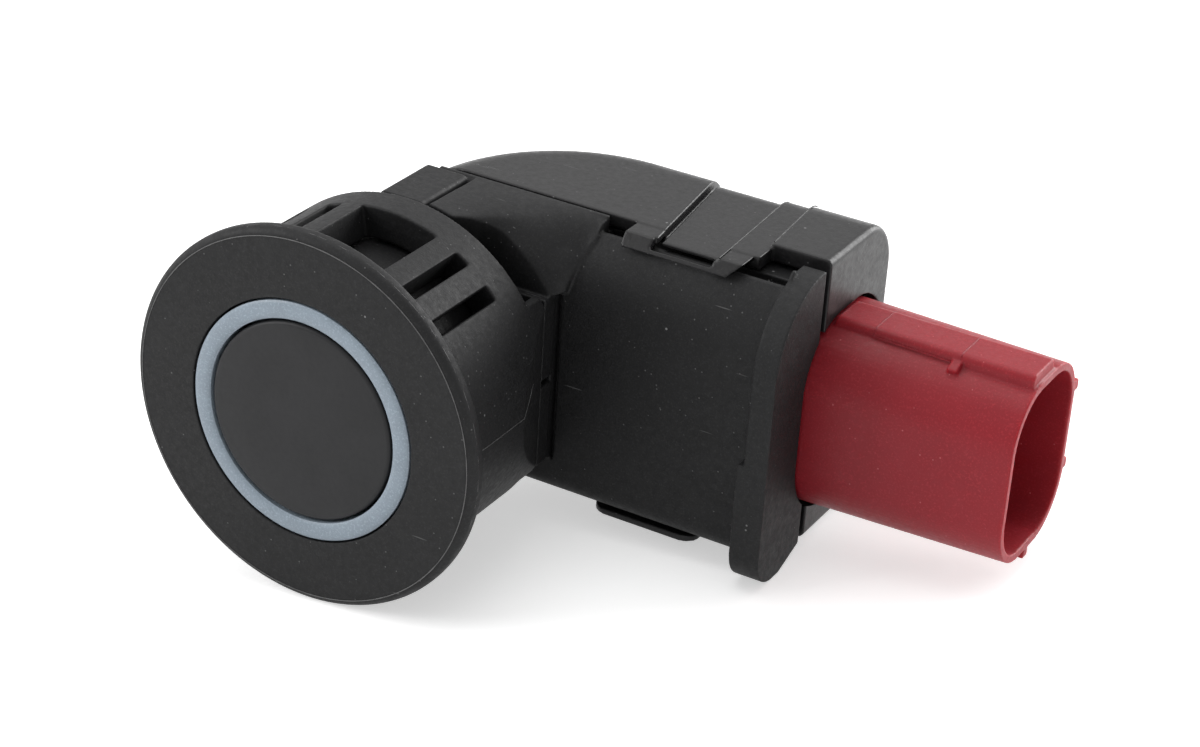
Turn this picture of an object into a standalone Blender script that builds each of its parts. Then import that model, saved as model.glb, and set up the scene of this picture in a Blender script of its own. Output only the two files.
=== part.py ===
"""Angled ultrasonic parking sensor.

The sensing face looks along -Y, the electrical connector points along +X and +Z is up.
Lengths below are in the sensor's own frame, whose origin is the centre of the face.
A root empty then lifts the whole sensor so that it stands on Z = 0, centred on the origin.
"""

import math

import bmesh
import bpy
from mathutils import Vector

MM = 0.001
COLLECTION_NAME = "parking_sensor"
CUTTER_COLLECTION_NAME = "cutters"

# Clearances
FIT_GAP = 0.3 * MM
RING_GAP = 0.15 * MM
OVERRUN = 2.0 * MM

# Bezel: face disc, slotted sleeve and side tongue
DISC_RADIUS = 14.0 * MM
DISC_THICKNESS = 1.3 * MM
DISC_FRONT_ROUND = 0.7 * MM
DISC_REAR_ROUND = 0.3 * MM
SLEEVE_WALL = 2.4 * MM
SLEEVE_END = 12.33 * MM
WINDOW_FRONT = 3.0 * MM
WINDOW_BACK = 9.7 * MM
WINDOW_CENTRE = 6.0
WIDE_WINDOW_ANGLE = 29.0
SLOT_ANGLE = 5.6
SLOT_OFFSETS = (25.5, 39.7)
TONGUE_TIP_INSET = 1.7 * MM
TONGUE_TAPER_START = 9.0 * MM

# Transducer
RING_LIP = 0.56 * MM
RING_CLEARANCE = 0.2 * MM
RING_WALL = 0.75 * MM
RING_DEPTH = 9.4 * MM
RING_CROWN = 0.12 * MM
CUP_RADIUS = 7.35 * MM
CUP_DEPTH = 9.0 * MM
CUP_WALL = 1.3 * MM
MEMBRANE_THICKNESS = 0.8 * MM
CUP_EDGE_ROUND = 0.3 * MM
PIEZO_RADIUS = 3.6 * MM
PIEZO_THICKNESS = 0.4 * MM
BOND_GAP = 0.1 * MM
PAD_CLEARANCE = 0.65 * MM
PAD_THICKNESS = 3.4 * MM
PLUG_THICKNESS = 2.6 * MM
RETAINER_BORE = 4.4 * MM
RETAINER_THICKNESS = 1.4 * MM
LEAD_RADIUS = 0.3 * MM
LEAD_SPACING = 2.8 * MM
LEAD_X = 1.2 * MM

# Housing barrel and shoulder
BARREL_WALL = 1.0 * MM
BARREL_CAP = 1.2 * MM
BARREL_SEAT = 0.6 * MM
SHOULDER_REACH = 1.1 * MM
SHOULDER_START_ANGLE = 8.0
SHOULDER_TOUCH_ANGLE = 17.0
SHOULDER_FREE_ANGLE = 34.0
SHOULDER_END_ANGLE = 57.0
SHOULDER_OVERHANG = 0.4 * MM
SHOULDER_OVERLAP = 3.0 * MM
SHOULDER_CORNER = 0.9 * MM
SHOULDER_DEPTH = 3.4 * MM
NECK_RISE = 0.8 * MM
NECK_TOP = 6.6 * MM
NECK_REACH = 1.7 * MM
NECK_LENGTH = 5.4 * MM
NOTCH_HEIGHT = 0.5 * MM
RIB_LEFT = -2.4 * MM
RIB_RIGHT = 1.2 * MM
RIB_RISE = 0.1 * MM
RIB_HEIGHT = 3.9 * MM
RIB_OVERLAP = 2.4 * MM
RIB_ROUND = 0.4 * MM

# Housing body
BODY_LEFT = -1.4 * MM
BODY_STANDOFF = 3.67 * MM
BODY_BOTTOM = -9.4 * MM
BODY_CORNER = 1.4 * MM
BODY_WALL = 1.3 * MM
BODY_TOP_WALL = 2.3 * MM
BROW_RISE = 6.0 * MM
BROW_RADIUS = 8.0 * MM
BROW_DROP = 0.9 * MM
TROUGH_WIDTH = 1.6 * MM
TROUGH_UNDERCUT = 0.5 * MM
TROUGH_DEPTH = 1.0 * MM
RECESS_BITE = 0.2 * MM
FLANGE_LEFT = 26.7 * MM
FLANGE_THICKNESS = 1.8 * MM
FLANGE_REACH = 2.0 * MM
FLANGE_DROP = 0.2 * MM
FLANGE_TOP_RADIUS = 6.2 * MM
FLANGE_LEDGE = 0.3 * MM
FLANGE_FOOT = 1.1 * MM
FLANGE_TOE = 3.6 * MM
FLANGE_CORNER = 2.6 * MM
FLANGE_PAD = 0.5 * MM
FLANGE_PAD_TOP = -0.9 * MM

# Rear cover
COVER_LEFT = -3.1 * MM
COVER_DROP = 0.3 * MM
COVER_STEP = 0.1 * MM
COVER_BACK_SPACE = 0.3 * MM
COVER_WALL = 1.0 * MM
COVER_PLAN_RADIUS = 13.4 * MM
COVER_EDGE_RADIUS = 3.3 * MM
BLOCK_EDGE_RADIUS = 4.0 * MM
END_WALL = 1.3 * MM
BLOCK_LENGTH = 4.6 * MM
BLOCK_SLANT = 0.085
BLOCK_OVERLAP = 0.1 * MM
BLOCK_RISE = 0.3 * MM
BLOCK_SEAM = 0.7 * MM
BLOCK_END_ROUND = 0.5 * MM
BAND_LEFT = 17.0 * MM
BAND_RIGHT = 21.8 * MM
BAND_LEFT_SLANT = 0.136
BAND_RIGHT_SLANT = 0.058
BAND_DEPTH = 0.3 * MM
LOOP_LEFT = 14.7 * MM
LOOP_RIGHT = 22.1 * MM
LOOP_CORNER = 1.0 * MM
LOOP_RADIUS = 8.75 * MM
LOOP_THICKNESS = 0.6 * MM
LOOP_HEIGHT = 1.5 * MM
LOOP_STEP = 0.05 * MM
LOOP_STEPS = 8
WINDOW_LEFT = 17.1 * MM
WINDOW_RIGHT = 21.4 * MM
LOOP_BAR_DEPTH = 1.4 * MM
LOOP_SLOT = 0.6 * MM
LOWER_LOOP_LEFT = 13.6 * MM
LOWER_LOOP_RIGHT = 22.0 * MM
LOWER_LOOP_INSET = 0.8 * MM
LOWER_LOOP_THICKNESS = 0.5 * MM
LOWER_LOOP_SIDE = 1.8 * MM
LOWER_LOOP_BAR = 0.8 * MM
LOWER_LOOP_CORNER = 1.2 * MM
HOOK_HEIGHT = 0.6 * MM
HOOK_RAMP_SHARE = 0.35

# Connector shroud
COLLAR_INSET = 2.3 * MM
SHROUD_LENGTH = 15.1 * MM
SHROUD_WIDTH = 11.8 * MM
SHROUD_HEIGHT = 14.4 * MM
SHROUD_CORNER = 4.6 * MM
SHROUD_WALL = 0.9 * MM
SHROUD_FLOOR_THICKNESS = 2.5 * MM
SHROUD_DRAFT = 0.35 * MM
SHROUD_SEAT = 0.6 * MM
NECK_INSET = 1.5 * MM
COLLAR_THICKNESS = 1.2 * MM
COLLAR_RISE = 1.8 * MM
COLLAR_HALF_HEIGHT = 6.1 * MM
COLLAR_CORNER = 1.5 * MM
COLLAR_SPACE = 1.5 * MM
KEY_WIDTH = 5.0 * MM
KEY_RISE = 0.45 * MM
KEY_SHIFT = -0.1 * MM
KEY_TAB = 0.5 * MM
NUB_RISE = 0.85 * MM
NUB_WIDTH = 0.8 * MM
NUB_LENGTH = 1.6 * MM
NUB_STEP = 0.1 * MM
NUB_HEIGHTS = (3.4 * MM, -2.8 * MM)
NUB_BELOW_SHIFT = 0.4 * MM
TERMINAL_PITCH = 3.6 * MM
TERMINAL_WIDTH = 0.8 * MM
TERMINAL_THICKNESS = 0.6 * MM
TERMINAL_LENGTH = 15.1 * MM
TERMINAL_TAIL = 2.0 * MM

# Electronics
BOARD_LEFT = 2.6 * MM
BOARD_END_CLEARANCE = 0.8 * MM
BOARD_BOTTOM = -6.0 * MM
BOARD_TOP_CLEARANCE = 0.6 * MM
STANDOFF_HEIGHT = 1.8 * MM
BOARD_THICKNESS = 1.0 * MM
STANDOFF_RADIUS = 0.9 * MM
STANDOFF_INSET = 1.5 * MM
TRANSFORMER_X = 9.0 * MM
TRANSFORMER_Z = 2.2 * MM
TRANSFORMER_RADIUS = 3.4 * MM
TRANSFORMER_HEIGHT = 6.0 * MM
TRANSFORMER_FLANGE = 1.0 * MM
TRANSFORMER_POST = 1.6 * MM
WINDING_RADIUS = 2.9 * MM
CHIP_SIZE = 5.0 * MM
CHIP_THICKNESS = 1.2 * MM
CHIP_X = 16.4 * MM
CHIP_Z = 4.0 * MM
TALL_CAPACITOR_RADIUS = 2.0 * MM
TALL_CAPACITOR_HEIGHT = 5.4 * MM
TALL_CAPACITOR_X = 15.0 * MM
TALL_CAPACITOR_Z = -3.4 * MM
CHIP_CAPACITOR_SIZE = (2.0 * MM, 1.2 * MM, 1.3 * MM)
CHIP_RESISTOR_SIZE = (1.6 * MM, 0.5 * MM, 0.8 * MM)
CHIP_SPACE = 1.0 * MM
CHIP_ROW_SPACE = 0.65 * MM
CHIP_CLEARANCE = 0.65 * MM

# Places worked out from the sizes above
PAD_RADIUS = CUP_RADIUS - CUP_WALL - PAD_CLEARANCE
RING_BORE = CUP_RADIUS + RING_CLEARANCE
RING_BODY_RADIUS = RING_BORE + RING_WALL
RING_FACE_RADIUS = RING_BODY_RADIUS + RING_LIP
BARREL_BORE = RING_BODY_RADIUS + FIT_GAP
BARREL_RADIUS = BARREL_BORE + BARREL_WALL
SLEEVE_RADIUS = BARREL_RADIUS + FIT_GAP + SLEEVE_WALL
BODY_FRONT = SLEEVE_END + BODY_STANDOFF
BARREL_END = BODY_FRONT + BARREL_SEAT
NECK_SIDE = BARREL_RADIUS + NECK_RISE
NECK_FRONT = BODY_FRONT - NECK_REACH
TONGUE_TIP = SLEEVE_RADIUS - TONGUE_TIP_INSET
TONGUE_END = NECK_FRONT - FIT_GAP
SHOULDER_SIDE = SLEEVE_RADIUS + SHOULDER_OVERHANG
SHOULDER_FRONT = BODY_FRONT - SHOULDER_REACH
SHOULDER_BACK = BODY_FRONT + SHOULDER_OVERLAP
COVER_TOP = SLEEVE_RADIUS - COVER_DROP
COVER_FRONT = SHOULDER_BACK + FIT_GAP
COVER_BOTTOM = BODY_BOTTOM - COVER_STEP
COVER_RIGHT = FLANGE_LEFT + FLANGE_THICKNESS
CREASE_Z = COVER_TOP - BROW_RISE
BROW_TOP = COVER_TOP - BROW_DROP
TROUGH_BACK = COVER_FRONT + TROUGH_UNDERCUT
TROUGH_FRONT = TROUGH_BACK - TROUGH_WIDTH
TROUGH_FLOOR = BROW_TOP - TROUGH_DEPTH
RIB_TOP = COVER_TOP + RIB_RISE
RIB_BOTTOM = RIB_TOP - RIB_HEIGHT
RIB_BACK = BODY_FRONT + RIB_OVERLAP
FLANGE_TOP = COVER_TOP - FLANGE_DROP
FLANGE_FRONT = BODY_FRONT - FLANGE_REACH
FLANGE_BACK = FLANGE_FRONT + FLANGE_TOP_RADIUS + FLANGE_LEDGE
FLANGE_BOTTOM = BODY_BOTTOM - FLANGE_FOOT
FLANGE_TOE_Y = FLANGE_FRONT + FLANGE_TOE
BLOCK_LEFT = COVER_RIGHT - BLOCK_LENGTH
BLOCK_FRONT = FLANGE_BACK + BLOCK_SEAM
LOOP_BOTTOM = COVER_TOP - LOOP_HEIGHT
LOOP_BAR_BACK = BODY_FRONT + LOOP_BAR_DEPTH
LOWER_LOOP_FRONT = BODY_FRONT + LOWER_LOOP_INSET
BOARD_FRONT = BODY_FRONT + BODY_WALL + STANDOFF_HEIGHT
BOARD_TOP = COVER_TOP - COVER_WALL - FIT_GAP - BODY_TOP_WALL - BOARD_TOP_CLEARANCE
SHROUD_LEFT = FLANGE_LEFT - COLLAR_INSET
BOARD_RIGHT = SHROUD_LEFT - BOARD_END_CLEARANCE
TERMINAL_TAIL_X = SHROUD_LEFT - TERMINAL_TAIL
TERMINAL_TIP = TERMINAL_TAIL_X + TERMINAL_LENGTH
COLLAR_FRONT = BODY_FRONT + BODY_WALL + COLLAR_SPACE
SHROUD_CENTRE_Y = COLLAR_FRONT + COLLAR_RISE + SHROUD_WIDTH / 2 - NECK_INSET
SHROUD_SHOULDER = COVER_RIGHT - SHROUD_SEAT
SHROUD_FLOOR = SHROUD_SHOULDER + SHROUD_FLOOR_THICKNESS
SHROUD_MOUTH = COVER_RIGHT + SHROUD_LENGTH
COVER_BACK = SHROUD_CENTRE_Y + SHROUD_WIDTH / 2 + COVER_BACK_SPACE

# Smoothness of the round forms
TURN_STEPS = 96
SMALL_TURN_STEPS = 32
ARC_STEPS = 7
PLAN_STEPS = 14
SHOULDER_STEPS = 22
SHOULDER_ROWS = 5
SMOOTH_ANGLE = math.radians(35.0)


# Scene and material helpers

def clear_scene():
    for obj in list(bpy.data.objects):
        bpy.data.objects.remove(obj, do_unlink=True)


def new_collection(name):
    collection = bpy.data.collections.new(name)
    bpy.context.scene.collection.children.link(collection)
    return collection


def make_material(name, colour, roughness, metallic=0.0):
    material = bpy.data.materials.new(name)
    material.use_nodes = True
    shader = material.node_tree.nodes["Principled BSDF"]
    shader.inputs["Base Color"].default_value = (*colour, 1.0)
    shader.inputs["Roughness"].default_value = roughness
    shader.inputs["Metallic"].default_value = metallic
    return material


class Workshop:
    """Holds the collections, the root empty and the materials while the parts are made."""

    def __init__(self):
        clear_scene()
        self.parts = new_collection(COLLECTION_NAME)
        self.cutters = new_collection(CUTTER_COLLECTION_NAME)
        self.root = bpy.data.objects.new("sensor_root", None)
        self.root.location = stand_offset()
        self.parts.objects.link(self.root)
        self.materials = {
            "black_plastic": make_material("black_plastic", (0.022, 0.022, 0.024), 0.55),
            "cover_plastic": make_material("cover_plastic", (0.045, 0.043, 0.044), 0.35),
            "silicone": make_material("silicone", (0.27, 0.36, 0.46), 0.45),
            "membrane_paint": make_material("membrane_paint", (0.020, 0.020, 0.022), 0.5),
            "red_plastic": make_material("red_plastic", (0.27, 0.018, 0.032), 0.35),
            "ceramic": make_material("ceramic", (0.62, 0.56, 0.42), 0.5),
            "foam": make_material("foam", (0.10, 0.10, 0.11), 0.95),
            "tin": make_material("tin", (0.72, 0.72, 0.70), 0.3, 1.0),
            "board": make_material("board", (0.02, 0.16, 0.06), 0.45),
            "ferrite": make_material("ferrite", (0.05, 0.05, 0.055), 0.6),
            "copper": make_material("copper", (0.72, 0.30, 0.12), 0.35, 1.0),
            "chip_resin": make_material("chip_resin", (0.02, 0.02, 0.02), 0.5),
            "aluminium": make_material("aluminium", (0.75, 0.76, 0.77), 0.35, 1.0),
        }

    def finish_part(self, obj, material_name):
        """Put a finished part under the root with its material."""
        obj.data.materials.clear()
        obj.data.materials.append(self.materials[material_name])
        obj.parent = self.root
        move_to_collection(obj, self.parts)
        return obj

    def as_cutter(self, obj):
        """Keep a shape only as the tool of a Boolean."""
        obj.parent = self.root
        move_to_collection(obj, self.cutters)
        obj.hide_render = True
        obj.display_type = "WIRE"
        return obj


def stand_offset():
    """Place of the face centre when the sensor stands on Z = 0, centred on the origin."""
    deepest = COVER_BACK + BLOCK_RISE
    return Vector(((DISC_RADIUS - SHROUD_MOUTH) / 2, -deepest / 2, DISC_RADIUS))


def move_to_collection(obj, collection):
    for owner in list(obj.users_collection):
        owner.objects.unlink(obj)
    collection.objects.link(obj)


def mesh_object(name, bm):
    if bm.calc_volume(signed=True) < 0.0:
        bmesh.ops.reverse_faces(bm, faces=bm.faces)
    mesh = bpy.data.meshes.new(name)
    bm.to_mesh(mesh)
    bm.free()
    obj = bpy.data.objects.new(name, mesh)
    bpy.context.scene.collection.objects.link(obj)
    return obj


def smooth(obj):
    obj.data.shade_smooth()
    obj.data.set_sharp_from_angle(angle=SMOOTH_ANGLE)
    return obj


def combine(target, tool, operation):
    modifier = target.modifiers.new(f"{operation.lower()}_{tool.name}", "BOOLEAN")
    modifier.operation = operation
    modifier.solver = "EXACT"
    modifier.object = tool
    return target


# Outline helpers: points are pairs in the plane of the outline

def arc(centre, radius, start, end, steps=ARC_STEPS):
    """Points of an arc, its angles in degrees."""
    points = []
    for step in range(steps + 1):
        angle = math.radians(start + (end - start) * step / steps)
        points.append((centre[0] + radius * math.cos(angle), centre[1] + radius * math.sin(angle)))
    return points


def rounded_polygon(corners, radii, steps=ARC_STEPS):
    """A polygon whose corners are rounded, each by its own radius."""
    points = []
    count = len(corners)
    for index, corner in enumerate(corners):
        here = Vector(corner)
        radius = radii[index]
        if radius <= 0.0:
            points.append(tuple(here))
            continue
        to_last = (Vector(corners[index - 1]) - here).normalized()
        to_next = (Vector(corners[(index + 1) % count]) - here).normalized()
        half = to_last.angle(to_next) / 2
        centre = here + (to_last + to_next).normalized() * radius / math.sin(half)
        start = here + to_last * radius / math.tan(half) - centre
        sweep = math.pi - 2 * half
        if to_last.cross(to_next) > 0:
            sweep = -sweep
        for step in range(steps + 1):
            angle = sweep * step / steps
            turned_x = start.x * math.cos(angle) - start.y * math.sin(angle)
            turned_y = start.x * math.sin(angle) + start.y * math.cos(angle)
            points.append((centre.x + turned_x, centre.y + turned_y))
    return points


def plate(name, outline, low, high, axis):
    """A flat outline made solid between two heights along an axis.

    The outline lies in YZ for an extrusion along X, in XZ along Y and in XY along Z.
    """
    curve = bpy.data.curves.new(name, "CURVE")
    curve.dimensions = "2D"
    curve.fill_mode = "BOTH"
    curve.extrude = (high - low) / 2
    spline = curve.splines.new("POLY")
    spline.points.add(len(outline) - 1)
    for point, place in zip(spline.points, outline):
        point.co = (place[0], place[1], 0.0, 1.0)
    spline.use_cyclic_u = True
    guide = bpy.data.objects.new(name, curve)
    bpy.context.scene.collection.objects.link(guide)
    bpy.context.view_layer.update()
    evaluated = guide.evaluated_get(bpy.context.evaluated_depsgraph_get())
    mesh = bpy.data.meshes.new_from_object(evaluated)
    bpy.data.objects.remove(guide, do_unlink=True)
    bm = bmesh.new()
    bm.from_mesh(mesh)
    bpy.data.meshes.remove(mesh)
    bmesh.ops.remove_doubles(bm, verts=bm.verts, dist=0.002 * MM)
    middle = (low + high) / 2
    for vert in bm.verts:
        first, second, height = vert.co
        height += middle
        if axis == "X":
            vert.co = (height, first, second)
        elif axis == "Y":
            vert.co = (first, height, second)
        else:
            vert.co = (first, second, height)
    bmesh.ops.recalc_face_normals(bm, faces=bm.faces)
    return mesh_object(name, bm)


def box(name, low, high):
    """A box between two corners, from a cube primitive."""
    bm = bmesh.new()
    bmesh.ops.create_cube(bm, size=1.0)
    for vert in bm.verts:
        for axis in range(3):
            share = vert.co[axis] + 0.5
            vert.co[axis] = low[axis] + (high[axis] - low[axis]) * share
    return mesh_object(name, bm)


def turned(name, profile, steps=TURN_STEPS):
    """A turned body about the Y axis.

    The profile holds pairs of radius and depth behind the face. It runs from the front down
    the outer side, and is closed along the inner side or on the axis.
    """
    bm = bmesh.new()
    verts = [bm.verts.new((radius, 0.0, -depth)) for radius, depth in profile]
    for start, end in zip(verts, verts[1:]):
        bm.edges.new((start, end))
    on_axis = profile[0][0] == 0.0 and profile[-1][0] == 0.0
    if not on_axis:
        bm.edges.new((verts[-1], verts[0]))
    obj = mesh_object(name, bm)
    obj.rotation_euler = (math.pi / 2, 0.0, 0.0)
    screw = obj.modifiers.new("turn", "SCREW")
    screw.axis = "Z"
    screw.angle = math.tau
    screw.steps = steps
    screw.render_steps = steps
    screw.use_merge_vertices = True
    screw.merge_threshold = 0.01 * MM
    screw.use_smooth_shade = True
    return obj


# Bezel

def bezel_profile():
    bore = RING_FACE_RADIUS + RING_GAP
    sleeve_bore = SLEEVE_RADIUS - SLEEVE_WALL
    front_centre = (DISC_RADIUS - DISC_FRONT_ROUND, DISC_FRONT_ROUND)
    rear_centre = (DISC_RADIUS - DISC_REAR_ROUND, DISC_THICKNESS - DISC_REAR_ROUND)
    profile = [(bore, 0.0)]
    profile += arc(front_centre, DISC_FRONT_ROUND, -90.0, 0.0)
    profile += arc(rear_centre, DISC_REAR_ROUND, 0.0, 90.0, 3)
    profile += [(SLEEVE_RADIUS, DISC_THICKNESS), (SLEEVE_RADIUS, TONGUE_END)]
    profile += [(sleeve_bore, TONGUE_END), (sleeve_bore, DISC_THICKNESS), (bore, DISC_THICKNESS)]
    return profile


def sector_cutter(name, centre_angle, width_angle):
    """A block that cuts one window through the sleeve, its angles from the top towards +X."""
    inner = SLEEVE_RADIUS - SLEEVE_WALL - OVERRUN / 2
    outer = SLEEVE_RADIUS + OVERRUN
    steps = max(1, round(width_angle / 6.0))
    start = 90.0 - centre_angle - width_angle / 2
    end = 90.0 - centre_angle + width_angle / 2
    outline = arc((0.0, 0.0), outer, start, end, steps) + arc((0.0, 0.0), inner, end, start, steps)
    return plate(name, outline, WINDOW_FRONT, WINDOW_BACK, "Y")


def window_cutters():
    cutters = [sector_cutter("wide_window", WINDOW_CENTRE, WIDE_WINDOW_ANGLE)]
    for number, offset in enumerate(SLOT_OFFSETS, start=1):
        for side, sign in (("left", -1.0), ("right", 1.0)):
            name = f"slot_{side}_{number}"
            cutters.append(sector_cutter(name, WINDOW_CENTRE + sign * offset, SLOT_ANGLE))
    return cutters


def tongue_taper_cutter():
    """Takes the outer side of the tongue in towards its tip."""
    slope = (SLEEVE_RADIUS - TONGUE_TIP) / (TONGUE_END - TONGUE_TAPER_START)
    far_end = TONGUE_END + OVERRUN
    near_side = SLEEVE_RADIUS + slope * OVERRUN
    far_side = SLEEVE_RADIUS - slope * (far_end - TONGUE_TAPER_START)
    wide = SLEEVE_RADIUS + 2 * OVERRUN
    outline = [(near_side, TONGUE_TAPER_START - OVERRUN), (far_side, far_end)]
    outline += [(wide, far_end), (wide, TONGUE_TAPER_START - OVERRUN)]
    return plate("tongue_taper", outline, -SLEEVE_RADIUS, SLEEVE_RADIUS, "Z")


def build_bezel(shop):
    bezel = turned("bezel", bezel_profile())
    reach = SLEEVE_RADIUS + OVERRUN
    trim = box("sleeve_trim", (-reach, SLEEVE_END, -reach), (BARREL_RADIUS, TONGUE_END + OVERRUN, reach))
    for cutter in [trim, tongue_taper_cutter()] + window_cutters():
        combine(bezel, shop.as_cutter(cutter), "DIFFERENCE")
    return shop.finish_part(bezel, "black_plastic")


# Transducer, from the front to the back

def build_decoupling_ring(shop):
    lip_back = DISC_THICKNESS + FIT_GAP
    middle = (RING_BORE + RING_FACE_RADIUS) / 2
    profile = [(RING_BORE, 0.0), (middle, -RING_CROWN), (RING_FACE_RADIUS, 0.0)]
    profile += [(RING_FACE_RADIUS, lip_back - FIT_GAP), (RING_BODY_RADIUS, lip_back)]
    profile += [(RING_BODY_RADIUS, RING_DEPTH), (RING_BORE, RING_DEPTH)]
    ring = turned("decoupling_ring", profile)
    return shop.finish_part(ring, "silicone")


def build_transducer_cup(shop):
    bore = CUP_RADIUS - CUP_WALL
    profile = [(0.0, 0.0)]
    profile += arc((CUP_RADIUS - CUP_EDGE_ROUND, CUP_EDGE_ROUND), CUP_EDGE_ROUND, -90.0, 0.0, 3)
    profile += [(CUP_RADIUS, CUP_DEPTH), (bore, CUP_DEPTH)]
    profile += [(bore, MEMBRANE_THICKNESS), (0.0, MEMBRANE_THICKNESS)]
    cup = turned("transducer_cup", profile)
    return shop.finish_part(cup, "membrane_paint")


def disc_between(name, radius, front, back, steps=SMALL_TURN_STEPS):
    return turned(name, [(0.0, front), (radius, front), (radius, back), (0.0, back)], steps)


def piezo_back():
    return MEMBRANE_THICKNESS + BOND_GAP + PIEZO_THICKNESS


def plug_front():
    return piezo_back() + BOND_GAP + PAD_THICKNESS + FIT_GAP


def build_transducer_inside(shop):
    piezo = disc_between("piezo_disc", PIEZO_RADIUS, MEMBRANE_THICKNESS + BOND_GAP, piezo_back())
    shop.finish_part(piezo, "ceramic")
    pad_front = piezo_back() + BOND_GAP
    pad = disc_between("absorber_pad", PAD_RADIUS, pad_front, pad_front + PAD_THICKNESS)
    shop.finish_part(pad, "foam")
    plug_radius = CUP_RADIUS - CUP_WALL - FIT_GAP
    plug = disc_between("cup_plug", plug_radius, plug_front(), plug_front() + PLUG_THICKNESS)
    shop.finish_part(plug, "silicone")


def retainer_front():
    return RING_DEPTH + FIT_GAP


def build_retaining_ring(shop):
    outer = BARREL_BORE - FIT_GAP
    back = retainer_front() + RETAINER_THICKNESS
    profile = [(outer, retainer_front()), (outer, back), (RETAINER_BORE, back)]
    profile += [(RETAINER_BORE, retainer_front())]
    ring = turned("retaining_ring", profile, TURN_STEPS // 2)
    return shop.finish_part(ring, "black_plastic")


def lead_route(height):
    """Straight out of the plug, across to the board's edge and up to its front."""
    start = plug_front() + PLUG_THICKNESS + FIT_GAP
    board_x = BOARD_LEFT + STANDOFF_INSET
    across = BODY_FRONT - FIT_GAP
    end = BOARD_FRONT - FIT_GAP
    bend = (end - across) / 3
    return [
        (LEAD_X, start, height),
        (LEAD_X, across - bend, height),
        (LEAD_X + bend / 2, across, height),
        (board_x - bend / 2, across + bend / 2, height),
        (board_x, across + 1.5 * bend, height),
        (board_x, end, height),
    ]


def build_leads(shop):
    for name, sign in (("transducer_lead_upper", 1.0), ("transducer_lead_lower", -1.0)):
        route = lead_route(sign * LEAD_SPACING / 2)
        curve = bpy.data.curves.new(name, "CURVE")
        curve.dimensions = "3D"
        curve.bevel_depth = LEAD_RADIUS
        curve.bevel_resolution = 2
        curve.use_fill_caps = True
        spline = curve.splines.new("POLY")
        spline.points.add(len(route) - 1)
        for point, place in zip(spline.points, route):
            point.co = (*place, 1.0)
        lead = bpy.data.objects.new(name, curve)
        bpy.context.scene.collection.objects.link(lead)
        shop.finish_part(lead, "tin")


# Housing

def body_profile():
    """Side outline of the body, in Y and Z: flat front, round brow above, round foot below."""
    brow = (BODY_FRONT + BROW_RADIUS, CREASE_Z)
    rise = COVER_TOP - CREASE_Z
    brow_angle = math.degrees(math.asin(rise / BROW_RADIUS))
    foot = (BODY_FRONT + BODY_CORNER, BODY_BOTTOM + BODY_CORNER)
    points = arc(brow, BROW_RADIUS, 180.0 - brow_angle, 180.0, 8)
    points += arc(foot, BODY_CORNER, 180.0, 270.0)
    points += [(SHOULDER_BACK, BODY_BOTTOM), (SHOULDER_BACK, COVER_TOP)]
    return points


def inner_top():
    return COVER_TOP - COVER_WALL - FIT_GAP


def inner_bottom():
    return COVER_BOTTOM + COVER_WALL + FIT_GAP


def rounded_slab(name, inset, front, back, right, bottom, top):
    """A slab with the cover's round left end and its round top and bottom edges."""
    left = COVER_LEFT + inset
    plan_radius = COVER_PLAN_RADIUS - inset
    edge_radius = COVER_EDGE_RADIUS - inset
    centre = (left + plan_radius, back - plan_radius)
    cut_short = math.degrees(math.asin(max(0.0, front - centre[1]) / plan_radius))
    outline = [(right, front), (right, back)]
    outline += arc(centre, plan_radius, 90.0, 180.0 - cut_short, PLAN_STEPS)
    if front < centre[1]:
        outline.append((left, front))
    bm = bmesh.new()
    floor = bm.faces.new([bm.verts.new((x, y, bottom)) for x, y in outline])
    grown = bmesh.ops.extrude_face_region(bm, geom=[floor])
    lifted = [item for item in grown["geom"] if isinstance(item, bmesh.types.BMVert)]
    bmesh.ops.translate(bm, verts=lifted, vec=(0.0, 0.0, top - bottom))
    bmesh.ops.recalc_face_normals(bm, faces=bm.faces)
    rim = [edge for edge in bm.edges if is_round_rim(edge, front, right)]
    bmesh.ops.bevel(bm, geom=rim, offset=edge_radius, segments=ARC_STEPS, profile=0.5, affect="EDGES")
    return mesh_object(name, bm)


def is_round_rim(edge, front, right):
    """True for a level edge on the back or the left end of a slab."""
    first, second = (vert.co for vert in edge.verts)
    tiny = 0.001 * MM
    level = abs(first.z - second.z) < tiny
    on_front = abs(first.y - front) < tiny and abs(second.y - front) < tiny
    on_right = abs(first.x - right) < tiny and abs(second.x - right) < tiny
    return level and not on_front and not on_right


def build_barrel():
    front = DISC_THICKNESS + FIT_GAP
    floor = BARREL_END - BARREL_CAP
    profile = [(0.0, floor), (BARREL_BORE, floor), (BARREL_BORE, front)]
    profile += [(BARREL_RADIUS, front), (BARREL_RADIUS, BARREL_END), (0.0, BARREL_END)]
    return turned("barrel", profile)


def shoulder_front(angle):
    """Depth of the shoulder's front edge: it meets the sleeve at the top and stands off beside it."""
    touch = SLEEVE_END + FIT_GAP
    share = (SHOULDER_FREE_ANGLE - angle) / (SHOULDER_FREE_ANGLE - SHOULDER_TOUCH_ANGLE)
    share = min(1.0, max(0.0, share))
    return SHOULDER_FRONT - (SHOULDER_FRONT - touch) * share * share


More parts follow.
